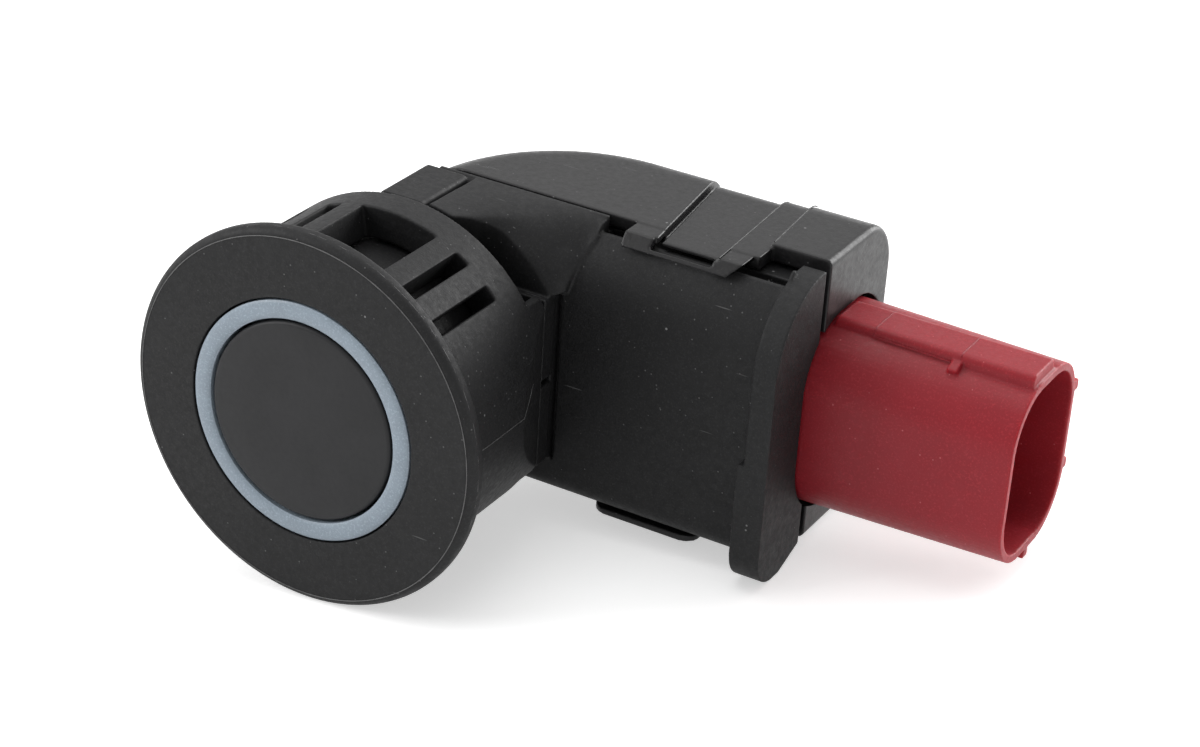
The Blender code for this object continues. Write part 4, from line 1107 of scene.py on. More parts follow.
    def build_lines(self, shop: Workshop) -> None:
        """Sweeps the fine lips on the disc's rim and the mould's parting line on the sleeve.

        Args:
            shop: Workshop that places and dresses the pieces.
        """
        edge = self.disc_radius - self.front_round
        # The rim lips, the parting lip and the tongue lip take the light grey edge finish: a painted
        # highlight where these edges catch light, with some wear.
        FineLine("rim_lip_front", self.circle(edge + 0.12, 0.0), 0.032, 0.7, 1.0, True, True).build(
            shop, Slot.BLACK)
        FineLine("rim_lip_outer", self.circle(self.disc_radius - 0.045, self.front_round - 0.12), 0.03,
                 0.7, 2.0, True, True).build(shop, Slot.BLACK)
        slope = self.taper_slope()
        level = self.tongue_taper_start
        path = [(self.sleeve_radius, self.disc_thickness, 0.3), (self.sleeve_radius, 5.0, 0.25),
                (self.sleeve_radius, level, 0.3),
                (self.sleeve_radius - slope * 1.2, level + 1.2, 0.8),
                (self.sleeve_radius - slope * 2.4, level + 2.4, 1.7)]
        FineLine("parting_lip", path, 0.028, 0.95, 3.0, highlight_and_wear=True).build(shop, Slot.BLACK)
        end = self.tongue_end
        low = 0.86 * self.tongue_half
        path = [(self.tongue_tip - 0.04, end - 0.05, low), (self.tongue_tip - 0.04, end - 0.05, 0.0),
                (self.tongue_tip - 0.04, end - 0.05, -low)]
        FineLine("tongue_lip", path, 0.05, 0.7, 4.0, highlight_and_wear=True).build(shop, Slot.BLACK)

    def build(self, shop: Workshop) -> None:
        """Builds every piece of the face.

        Args:
            shop: Workshop that places and dresses the pieces.
        """
        self.build_bezel(shop)
        self.build_ring(shop)
        self.build_cup(shop)
        self.build_lines(shop)
        shop.dress("retaining_ring", Slot.BLACK)
        shop.dress("piezo_disc", Slot.CERAMIC)
        shop.dress("absorber_pad", Slot.FOAM)
        shop.dress("cup_plug", Slot.SILICONE)
        for side in ("upper", "lower"):
            shop.dress(f"transducer_lead_{side}", Slot.TIN)


@dataclass
class Case:
    """Sizes shared by the housing and its cover."""

    fit_gap: float = 0.3
    ring_gap: float = 0.15
    overrun: float = 2.0
    cover_left: float = -3.1
    cover_front: float = 19.3
    cover_top: float = 12.0
    cover_bottom: float = -9.5
    cover_back: float = 31.2
    cover_wall: float = 1.0
    plan_radius: float = 13.4
    edge_radius: float = 3.3
    cover_right: float = 28.5
    body_front: float = 16.0
    body_bottom: float = -9.4
    crease_z: float = 6.0
    brow_radius: float = 8.0
    brow_top: float = 11.1
    shroud_centre: float = 25.0
    shroud_width: float = 11.8
    shroud_height: float = 14.4
    shroud_corner: float = 4.6
    shroud_shoulder: float = 27.9
    neck_inset: float = 1.5

    def slab(self, name: str, inset: float, front: float, back: float, right: float,
             bottom: float, top: float) -> bpy.types.Object:
        """Slab with the cover's round left end and its round top and bottom edges.

        Args:
            name: Name of the solid.
            inset: Distance inside the cover's outer surface.
            front: Front depth.
            back: Back depth.
            right: Right end.
            bottom: Lower height.
            top: Upper height.

        Returns:
            The closed solid.
        """
        left = self.cover_left + inset
        plan_radius = self.plan_radius - inset
        edge_radius = self.edge_radius - inset
        centre = (left + plan_radius, back - plan_radius)
        cut_short = math.degrees(math.asin(max(0.0, front - centre[1]) / plan_radius))
        outline = [(right, front), (right, back)]
        outline += arc(centre, plan_radius, 90.0, 180.0 - cut_short, 40)
        if front < centre[1]:
            outline.append((left, front))
        obj = prism(name, outline, bottom, top, Axis.Z)
        bevel_edges(obj, lambda edge: self.is_rim(edge, front, right), edge_radius, 12)
        return obj

    @staticmethod
    def is_rim(edge: bmesh.types.BMEdge, front: float, right: float) -> bool:
        """Tells whether an edge is level and on the back or the left end of a slab.

        Args:
            edge: Edge of the slab.
            front: Front depth of the slab.
            right: Right end of the slab.

        Returns:
            True where the edge is rounded.
        """
        first, second = (vert.co for vert in edge.verts)
        on_front = abs(first.y - front) < TINY and abs(second.y - front) < TINY
        on_right = abs(first.x - right) < TINY and abs(second.x - right) < TINY
        return abs(first.z - second.z) < TINY and not on_front and not on_right

    def brow_depth(self, z: float, radius: float) -> float:
        """Depth of a point at a height on an arc about the brow's centre."""
        centre = self.body_front + self.brow_radius
        return centre - math.sqrt(radius ** 2 - (z - self.crease_z) ** 2)

    def shroud_outline(self, growth: float = 0.0, steps: int = 16) -> list[Point]:
        """Cross section of the connector in Y and Z, grown outwards by a distance.

        Args:
            growth: Distance by which it grows.
            steps: Straight steps in each corner.

        Returns:
            The outline's points.
        """
        half_width = self.shroud_width / 2 + growth
        half_height = self.shroud_height / 2 + growth
        front = self.shroud_centre - half_width
        back = self.shroud_centre + half_width
        corners = [(front, -half_height), (back, -half_height), (back, half_height), (front, half_height)]
        return rounded_polygon(corners, (self.shroud_corner + growth,) * 4, steps)

    def passage(self, name: str, growth: float, low: float, high: float) -> bpy.types.Object:
        """Tool that makes room for the connector."""
        return prism(name, self.shroud_outline(growth + self.fit_gap), low, high, Axis.X)

    def inner_top(self) -> float:
        """Height of the part of the body that the cover slides over."""
        return self.cover_top - self.cover_wall - self.fit_gap

    def inner_bottom(self) -> float:
        """Lower side of the part of the body that the cover slides over."""
        return self.cover_bottom + self.cover_wall + self.fit_gap


@dataclass
class Housing:
    """Barrel, shoulder, box-shaped body and end flange, moulded as one piece."""

    case: Case = field(default_factory=Case)
    face: Face = field(default_factory=Face)
    barrel_bore: float = 8.6
    barrel_cap: float = 1.2
    barrel_end: float = 16.6
    shoulder_front: float = 14.9
    start_angle: float = 8.0
    touch_angle: float = 17.0
    free_angle: float = 34.0
    end_angle: float = 57.0
    shoulder_side: float = 12.7
    shoulder_back: float = 19.0
    shoulder_bulge: float = 0.55
    shoulder_easing: int = 16
    swell_start: float = 18.0
    swell_span: float = 16.0
    ridge_right: float = 12.9
    ridge_lean: float = 0.35
    ridge_lift: float = 0.55
    ridge_end: float = 9.8
    ridge_seat: float = 0.05
    shoulder_depth: float = 3.4
    shoulder_steps: int = 60
    shoulder_rows: int = 12
    neck_side: float = 10.4
    neck_top: float = 6.6
    neck_front: float = 14.3
    neck_inner: float = 5.0
    notch_height: float = 0.5
    relief_bite: float = 0.05
    relief_reach: float = 0.3
    relief_depth: float = 0.6
    lead_left: float = -1.2
    lead_right: float = 5.6
    lead_reach: float = 2.8
    far_out: float = 60.0
    rib_left: float = -2.4
    rib_right: float = 1.2
    rib_top: float = 12.1
    rib_bottom: float = 8.2
    rib_back: float = 18.4
    rib_round: float = 0.4
    body_left: float = -1.4
    body_corner: float = 1.4
    body_wall: float = 1.3
    body_top_wall: float = 2.3
    trough_front: float = 18.2
    trough_back: float = 19.8
    trough_floor: float = 10.1
    recess_bite: float = 0.2
    flange_left: float = 26.7
    flange_thickness: float = 1.8
    flange_front: float = 14.0
    flange_back: float = 20.5
    flange_top: float = 11.8
    flange_top_radius: float = 6.2
    flange_bottom: float = -10.5
    flange_heel: float = -9.5
    flange_toe: float = 17.6
    flange_corner: float = 2.6
    flange_pad: float = 0.5
    flange_pad_top: float = -0.9
    hook_left: float = 15.7
    hook_right: float = 19.9
    hook_front: float = 17.9
    hook_height: float = 0.6
    hook_ramp: float = 0.35

    def barrel(self) -> bpy.types.Object:
        """Barrel that holds the transducer.

        Returns:
            The closed solid.
        """
        front = self.face.disc_thickness + self.case.fit_gap
        outer = self.face.sleeve_radius - self.face.sleeve_wall - self.case.fit_gap
        floor = self.barrel_end - self.barrel_cap
        profile = [(0.0, floor), (self.barrel_bore, floor), (self.barrel_bore, front), (outer, front)]
        profile += [(outer, self.barrel_end), (0.0, self.barrel_end)]
        return turned("housing_moulding", profile)

    def body(self) -> bpy.types.Object:
        """Body with a flat front, a round brow above and a round foot below.

        Returns:
            The closed solid.
        """
        case = self.case
        brow = (case.body_front + case.brow_radius, case.crease_z)
        angle = math.degrees(math.asin((case.cover_top - case.crease_z) / case.brow_radius))
        foot = (case.body_front + self.body_corner, case.body_bottom + self.body_corner)
        outline = arc(brow, case.brow_radius, 180.0 - angle, 180.0, 20)
        outline += arc(foot, self.body_corner, 180.0, 270.0)
        outline += [(self.shoulder_back, case.body_bottom), (self.shoulder_back, case.cover_top)]
        return prism("body", outline, self.body_left, self.flange_left + case.fit_gap, Axis.X)

    def front_depth(self, angle: float) -> float:
        """Depth of the shoulder's front edge, which meets the sleeve only at the top.

        Args:
            angle: Angle from the top towards +X.

        Returns:
            The depth behind the face.
        """
        touch = self.face.sleeve_end + self.case.fit_gap
        share = (self.free_angle - angle) / (self.free_angle - self.touch_angle)
        share = min(1.0, max(0.0, share))
        return self.shoulder_front - (self.shoulder_front - touch) * share * share

    def back_point(self, share: float) -> Vector:
        """Point where the shoulder ends at the back, by its share of the way across and down.

        Args:
            share: Share of the way, from zero at the left to one at the foot.

        Returns:
            The point.
        """
        case = self.case
        left = self.face.sleeve_radius * math.sin(math.radians(self.start_angle))
        low = self.face.sleeve_radius * math.cos(math.radians(self.end_angle))
        across = self.ridge_right - left
        travel = share * (across + case.cover_top - low)
        if travel < across:
            return Vector((left + travel, self.shoulder_back, case.cover_top))
        z = case.cover_top - (travel - across)
        lift = self.ridge_lift * max(0.0, z - self.ridge_end) / (case.cover_top - self.ridge_end)
        depth = case.brow_depth(z, case.brow_radius) - lift + self.ridge_seat
        return Vector((self.ridge_right - self.ridge_lean * (case.cover_top - z), depth, z))

    def section(self, share: float) -> list[Vector]:
        """Outer and inner points of the shoulder at one place round it.

        Args:
            share: Share of the way round, from zero to one.

        Returns:
            The outer points from front to back, then the inner ones back again.
        """
        angle = self.start_angle + (self.end_angle - self.start_angle) * share
        outward = Vector((math.sin(math.radians(angle)), 0.0, math.cos(math.radians(angle))))
        along = Vector((0.0, 1.0, 0.0))
        front = outward * self.face.sleeve_radius + along * self.front_depth(angle)
        back = self.back_point(share)
        rows = self.shoulder_rows
        swell = self.shoulder_bulge * min(1.0, max(0.0, (angle - self.swell_start) / self.swell_span))
        outer = []
        for row in range(rows + 1):
            part = row / rows
            point = front.lerp(back, part) + outward * swell * 4.0 * part * (1.0 - part)
            point.z = min(point.z, max(front.z, self.case.cover_top))
            outer.append(point)
        inner_radius = self.face.sleeve_radius - self.shoulder_depth
        inner = [outward * inner_radius + along * point.y for point in outer]
        return outer + inner[::-1]

    def eased(self, raw: list[list[Vector]], step: int, row: int) -> Vector:
        """Point of the shoulder, evened out between its fixed front and back edges.

        Args:
            raw: Sections before they are evened out.
            step: Number of the section.
            row: Number of the point in it.

        Returns:
            The evened point.
        """
        part = row / self.shoulder_rows
        if part >= 1.0:
            return raw[step][row]
        reach = round(self.shoulder_easing * 4.0 * part * (1.0 - part))
        reach = min(reach, step, self.shoulder_steps - step)
        near = [raw[index][row] for index in range(step - reach, step + reach + 1)]
        return sum(near, Vector()) / len(near)

    def shoulder(self) -> bpy.types.Object:
        """Loft from the round barrel to the square body.

        Returns:
            The closed solid.
        """
        steps = self.shoulder_steps
        raw = [self.section(step / steps) for step in range(steps + 1)]
        sections = [[self.eased(raw, step, row) for row in range(len(raw[step]))]
                    for step in range(steps + 1)]
        return loft("shoulder", sections, triangles=True)

    def rib(self) -> bpy.types.Object:
        """Flat rib on top, left of the shoulder.

        Returns:
            The closed solid.
        """
        corners = [(self.rib_left, self.rib_bottom), (self.rib_right, self.rib_bottom)]
        corners += [(self.rib_right, self.rib_top), (self.rib_left, self.rib_top)]
        outline = rounded_polygon(corners, (0.0, 0.0, self.rib_round, self.rib_round), 6)
        return prism("rib", outline, self.face.sleeve_end + self.case.fit_gap, self.rib_back, Axis.Y)

    def flange_outline(self) -> list[Point]:
        """Outline of the end flange in Y and Z.

        Returns:
            The outline's points.
        """
        corners = [
            (self.flange_back, self.flange_top),
            (self.flange_front, self.flange_top),
            (self.flange_front, self.flange_bottom),
            (self.flange_toe, self.flange_bottom),
            (self.flange_back, self.flange_heel),
        ]
        return rounded_polygon(corners, (0.0, self.flange_top_radius, self.flange_corner, 0.0, 0.0), 24)

    def flange_forms(self) -> list[bpy.types.Object]:
        """The flange and its thicker lower half.

        Returns:
            The two solids.
        """
        left = self.flange_left
        flange = prism("flange", self.flange_outline(), left, left + self.flange_thickness, Axis.X)
        outline = [point for point in self.flange_outline() if point[1] < self.flange_pad_top]
        outline = [(self.flange_front, self.flange_pad_top)] + outline
        outline += [(self.flange_back, self.flange_pad_top)]
        pad = prism("flange_pad", outline, left - self.flange_pad, left + self.case.fit_gap, Axis.X)
        return [flange, pad]

    def inner_box(self) -> bpy.types.Object:
        """Rear part of the body, which the cover slides over.

        Returns:
            The closed solid.
        """
        case = self.case
        inset = case.cover_wall + case.fit_gap
        return case.slab("inner_box", inset, self.shoulder_back - case.fit_gap, case.cover_back - inset,
                         self.flange_left + case.fit_gap, case.inner_bottom(), case.inner_top())

    def cavity(self) -> bpy.types.Object:
        """Tool that hollows the body for the board.

        Returns:
            The tool.
        """
        case = self.case
        inset = case.cover_wall + case.fit_gap + self.body_wall
        return case.slab("cavity", inset, case.body_front + self.body_wall,
                         case.cover_back - inset + case.overrun, self.flange_left,
                         case.inner_bottom() + self.body_wall, case.inner_top() - self.body_top_wall)

    def recess(self) -> bpy.types.Object:
        """Tool that lowers the brow beside the shoulder and sinks a trough under the cover.

        Returns:
            The tool.
        """
        case = self.case
        high = case.cover_top + case.overrun
        outline = [(self.flange_front, case.brow_top), (self.trough_front, case.brow_top)]
        outline += [(self.trough_front, self.trough_floor), (self.trough_back, self.trough_floor)]
        outline += [(self.trough_back, high), (self.flange_front, high)]
        return prism("recess", outline, self.shoulder_side - self.recess_bite, self.flange_left, Axis.X)

    def hook(self) -> bpy.types.Object:
        """Catch under the body for the lower loop.

        Returns:
            The closed solid.
        """
        base = self.case.body_bottom + self.case.fit_gap
        tip = self.case.body_bottom - self.hook_height
        back = self.shoulder_back - self.case.fit_gap
        ramp = self.hook_front + (back - self.hook_front) * self.hook_ramp
        outline = [(self.hook_front, base), (ramp, tip), (back, tip), (back, base)]
        return prism("hook", outline, self.hook_left, self.hook_right, Axis.X)

    def cuts(self) -> list[bpy.types.Object]:
        """Tools that hollow and open the housing.

        Returns:
            The tools, in the order in which they cut.
        """
        case = self.case
        wide = self.far_out
        inner_back = case.cover_back - case.cover_wall - case.fit_gap - self.body_wall
        right = self.flange_left + self.flange_thickness + case.overrun
        return [
            self.cavity(),
            self.recess(),
            block("open_back", (-wide, inner_back, -wide), (wide, wide, wide)),
            block("lead_window", (self.lead_left, self.barrel_end - 2 * case.overrun, -self.lead_reach),
                  (self.lead_right, case.body_front + self.body_wall + case.overrun, self.lead_reach)),
            block("corner_relief",
                  (self.neck_side - self.relief_bite, case.body_front - case.fit_gap, -self.neck_top),
                  (self.neck_side + self.relief_reach, case.body_front + self.relief_depth, self.neck_top)),
            block("notch",
                  (self.face.tongue_inset, self.neck_front - case.overrun, -self.notch_height / 2),
                  (self.neck_side + case.overrun, case.body_front - case.fit_gap, self.notch_height / 2)),
            case.passage("neck_passage", -case.neck_inset, self.flange_left - case.overrun, right),
            case.passage("full_passage", 0.0, case.shroud_shoulder - case.fit_gap, right),
        ]

    def build(self, shop: Workshop) -> None:
        """Fuses the forms of the housing, hollows it and rounds it.

        Args:
            shop: Workshop that places and dresses the pieces.
        """
        case = self.case
        housing = self.barrel()
        neck = block("neck", (self.neck_inner, self.neck_front, -self.neck_top),
                     (self.neck_side, case.body_front + self.body_wall, self.neck_top))
        forms = [self.body(), self.inner_box(), neck, self.shoulder(), self.rib()]
        for form in forms + self.flange_forms():
            combine(housing, form, Cut.ADD)
        for tool in self.cuts():
            combine(housing, tool, Cut.TAKE)
        combine(housing, self.hook(), Cut.ADD)
        Rounding().apply(housing)
        shop.finish(housing, Slot.BLACK, "housing")


@dataclass
class Cover:
    """Rear cover with its raised end block, sunk band and two latch loops."""

    case: Case = field(default_factory=Case)
    end_wall: float = 1.3
    block_left: float = 23.9
    block_slant: float = 0.085
    block_overlap: float = 0.1
    block_rise: float = 0.3
    block_front: float = 21.2
    block_edge_radius: float = 4.0
    block_end_round: float = 0.5
    band_left: float = 17.0
    band_right: float = 21.8
    band_left_slant: float = 0.136
    band_right_slant: float = 0.058
    band_depth: float = 0.3
    groove_width: float = 0.34
    groove_depth: float = 0.7
    loop_left: float = 14.5
    loop_sag: Point = (21.9, 10.22)
    loop_radius: float = 8.75
    loop_thickness: float = 0.6
    loop_bottom: float = 10.95
    loop_step: float = 0.05
    loop_steps: int = 20
    loop_bar_back: float = 17.12
    loop_slot: float = 0.8
    window_left: float = 16.7
    window_right: float = 21.45
    lower_left: float = 13.6
    lower_right: float = 22.0
    lower_front: float = 16.8
    lower_thickness: float = 0.5
    lower_side: float = 1.8
    lower_bar: float = 0.8
    lower_corner: float = 1.2
    band_lip_inset: float = 0.04
    band_lip_start: float = 0.45
    band_lip_sink: float = 0.02
    band_lip_radius: float = 0.055
    block_lip_inset: float = 0.05
    block_lip_start: float = 0.4
    block_lip_sink: float = 0.04
    block_lip_radius: float = 0.05

    def over_top(self, name: str, left: float, right: float, slants: tuple[float, float],
                 low: float, high: float) -> bpy.types.Object:
        """Form that runs back over the cover's top and down its back.

        Args:
            name: Name of the form.
            left: Its left side at the front.
            right: Its right side at the front.
            slants: How far the two sides lean to the left.
            low: Its depth below the cover's surface.
            high: Its height above that surface.

        Returns:
            The closed solid.
        """
        case = self.case
        corner = (case.cover_back - case.edge_radius, case.cover_top - case.edge_radius)
        foot = case.cover_bottom + case.edge_radius
        outline = [(self.loop_bar_back, case.cover_top - low)]
        outline += arc(corner, case.edge_radius - low, 90.0, 0.0, 20)
        outline += [(case.cover_back - low, foot), (case.cover_back + high, foot)]
        outline += arc(corner, case.edge_radius + high, 0.0, 90.0, 20)
        outline += [(self.loop_bar_back, case.cover_top + high)]
        form = prism(name, outline, left, right, Axis.X)
        lean_side(form, left, self.loop_bar_back, slants[0])
        lean_side(form, right, self.loop_bar_back, slants[1])
        return form

    def band(self) -> list[bpy.types.Object]:
        """Tools that sink the band and its deeper left edge over the top and down the back.

        Returns:
            The two tools.
        """
        slants = (self.band_left_slant, self.band_right_slant)
        edge = (self.band_left_slant, self.band_left_slant)
        return [
            self.over_top("band", self.band_left, self.band_right, slants, self.band_depth,
                          self.case.overrun),
            self.over_top("band_edge", self.band_left, self.band_left + self.groove_width, edge,
                          self.groove_depth, self.case.overrun),
        ]

    def end_block(self) -> bpy.types.Object:
        """Raised block at the connector end, its outer rim softened.

        Returns:
            The closed solid.
        """
        case = self.case
        top = case.cover_top + self.block_rise
        back = case.cover_back + self.block_rise
        bottom = case.cover_bottom
        corners = [(self.block_front, bottom), (back, bottom), (back, top), (self.block_front, top)]
        outline = rounded_polygon(corners, (0.0, case.edge_radius, self.block_edge_radius, 0.0), 14)
        obj = prism("end_block", outline, self.block_left, case.cover_right, Axis.X)
        bevel_edges(obj, self.on_end_rim, self.block_end_round, 6)
        lean_side(obj, self.block_left, self.block_front, self.block_slant)
        return obj

    def on_end_rim(self, edge: bmesh.types.BMEdge) -> bool:
        """Tells whether an edge lies on the outer rim of the end block.

        Args:
            edge: Edge of the block.

        Returns:
            True for a sharp edge of its right end that isn't on the front.
        """
        on_end = all(abs(vert.co.x - self.case.cover_right) < TINY for vert in edge.verts)
        on_front = all(vert.co.y < self.block_front + TINY for vert in edge.verts)
        return on_end and not on_front and edge.calc_face_angle(0.0) > math.radians(45.0)

    def strap(self) -> bpy.types.Object:
        """Strap that reaches forward from the cover and follows the brow of the body.

        Returns:
            The closed solid.
        """
        case = self.case
        inner = self.loop_radius - self.loop_thickness
        top = case.cover_top - self.loop_step
        under = case.cover_top - self.loop_thickness
        low = self.loop_sag[1] - self.loop_thickness
        root = case.cover_front + case.cover_wall
        outline = []
        for step in range(self.loop_steps + 1):
            z = low + (top - low) * step / self.loop_steps
            outline.append((case.brow_depth(z, self.loop_radius), z))
        outline += [(root, top), (root, under)]
        for step in range(self.loop_steps + 1):
            z = under + (low - under) * step / self.loop_steps
            outline.append((case.brow_depth(z, inner), z))
        return prism("upper_loop", outline, self.loop_left - case.fit_gap,
                     self.block_left + case.fit_gap, Axis.X)

    def strap_front(self) -> bpy.types.Object:
        """Outline of the strap from the front: two round corners below and a flare on the right.

        Returns:
            The solid that the strap is cut to.
        """
        case = self.case
        high = case.cover_top + case.overrun
        flared = self.block_left + self.block_overlap
        corners = [(self.loop_left, self.loop_bottom), self.loop_sag]
        corners += [(flared, case.cover_top + case.fit_gap), (flared, high), (self.loop_left, high)]
        outline = rounded_polygon(corners, (0.4, 2.4, 0.0, 0.0, 0.0))
        back = case.cover_front + case.cover_wall + case.fit_gap
        return prism("strap_front", outline, case.body_front - case.overrun, back, Axis.Y)

    def upper_loop(self) -> bpy.types.Object:
        """Upper loop, cut to its outline.

        Returns:
            The closed solid.
        """
        strap = self.strap()
        combine(strap, self.strap_front(), Cut.KEEP)
        apply_all(strap)
        return strap

    def lower_top(self) -> float:
        """Upper side of the lower loop."""
        return self.case.body_bottom - self.case.fit_gap

    def lower_forms(self) -> list[bpy.types.Object]:
        """Strap under the body and its root on the cover.

        Returns:
            The two solids.
        """
        case = self.case
        left = self.lower_left
        right = self.lower_right
        back = case.cover_front + case.cover_wall
        corners = [(left, back), (left, self.lower_front), (right, self.lower_front), (right, back)]
        outline = rounded_polygon(corners, (0.0, self.lower_corner, self.lower_corner, 0.0))
        top = self.lower_top()
        strap = prism("lower_loop", outline, top - self.lower_thickness, top, Axis.Z)
        low = top - self.lower_thickness / 2
        root = block("lower_root", (left + case.fit_gap, case.cover_front + self.loop_step, low),
                     (right - case.fit_gap, back + case.fit_gap, case.cover_bottom + case.cover_wall / 2))
        return [strap, root]

    def windows(self) -> list[bpy.types.Object]:
        """Tools that open the two loops.

        Returns:
            The two tools.
        """
        case = self.case
        upper = block("upper_window", (self.window_left, self.loop_bar_back, case.brow_top - 1.0),
                      (self.window_right, self.loop_bar_back + self.loop_slot,
                       case.cover_top + case.overrun))
        lower = block("lower_window",
                      (self.lower_left + self.lower_side, self.lower_front + self.lower_bar,
                       case.cover_bottom - case.overrun),
                      (self.lower_right - self.lower_side, case.cover_front - case.ring_gap,
                       self.lower_top() + case.fit_gap / 2))
        return [upper, lower]

    def build(self, shop: Workshop) -> None:
        """Fuses the forms of the cover, hollows it and rounds it.

        Args:
            shop: Workshop that places and dresses the pieces.
        """
        case = self.case
        cover = case.slab("cover_moulding", 0.0, case.cover_front, case.cover_back,
                          self.block_left + self.block_overlap, case.cover_bottom, case.cover_top)
        for form in [self.end_block(), self.upper_loop()] + self.lower_forms():
            combine(cover, form, Cut.ADD)
        hollow = case.slab("hollow", case.cover_wall, case.body_front, case.cover_back - case.cover_wall,
                           case.cover_right - self.end_wall, case.cover_bottom + case.cover_wall,
                           case.cover_top - case.cover_wall)
        passage = case.passage("end_passage", 0.0, case.cover_right - self.end_wall - case.fit_gap,
                               case.cover_right + case.overrun)
        for tool in self.band():
            combine(cover, tool, Cut.TAKE)
        for tool in [hollow, passage] + self.windows():
            combine(cover, tool, Cut.TAKE)
        Rounding().apply(cover)
        shop.finish(cover, Slot.COVER, "rear_cover")
        self.build_lines(shop)

    def edge_path(self, left: float, slant: float, start: float, rise: float) -> list[Sequence[float]]:
        """Path back over the cover's top and round to its back, leaning to the left.

        Args:
            left: Place of the path at the front.
            slant: How far it leans to the left.
            start: Depth at which it starts.
            rise: Its height above the cover.

        Returns:
            The path's points.
        """
        case = self.case
        corner = (case.cover_back - case.edge_radius, case.cover_top - case.edge_radius)
        outline = [(start, case.cover_top + rise)]
        outline += arc(corner, case.edge_radius + rise, 90.0, 62.0, 8)
        return [(left - slant * (y - self.loop_bar_back), y, z) for y, z in outline]

    def build_lines(self, shop: Workshop) -> None:
        """Sweeps the fine lips along the band's right edge and the block's left edge.

        Args:
            shop: Workshop that places and dresses the pieces.
        """
        path = self.edge_path(self.band_right + self.band_lip_inset, self.band_right_slant,
                              self.loop_bar_back + self.band_lip_start, -self.band_lip_sink)
        FineLine("band_lip", path, self.band_lip_radius, 0.35, 5.0).build(shop, Slot.COVER)
        left = self.block_left + self.block_slant * (self.block_front - self.loop_bar_back)
        path = self.edge_path(left + self.block_lip_inset, self.block_slant,
                              self.block_front + self.block_lip_start,
                              self.block_rise - self.block_lip_sink)
        FineLine("block_lip", path, self.block_lip_radius, 0.4, 6.0).build(shop, Slot.COVER)


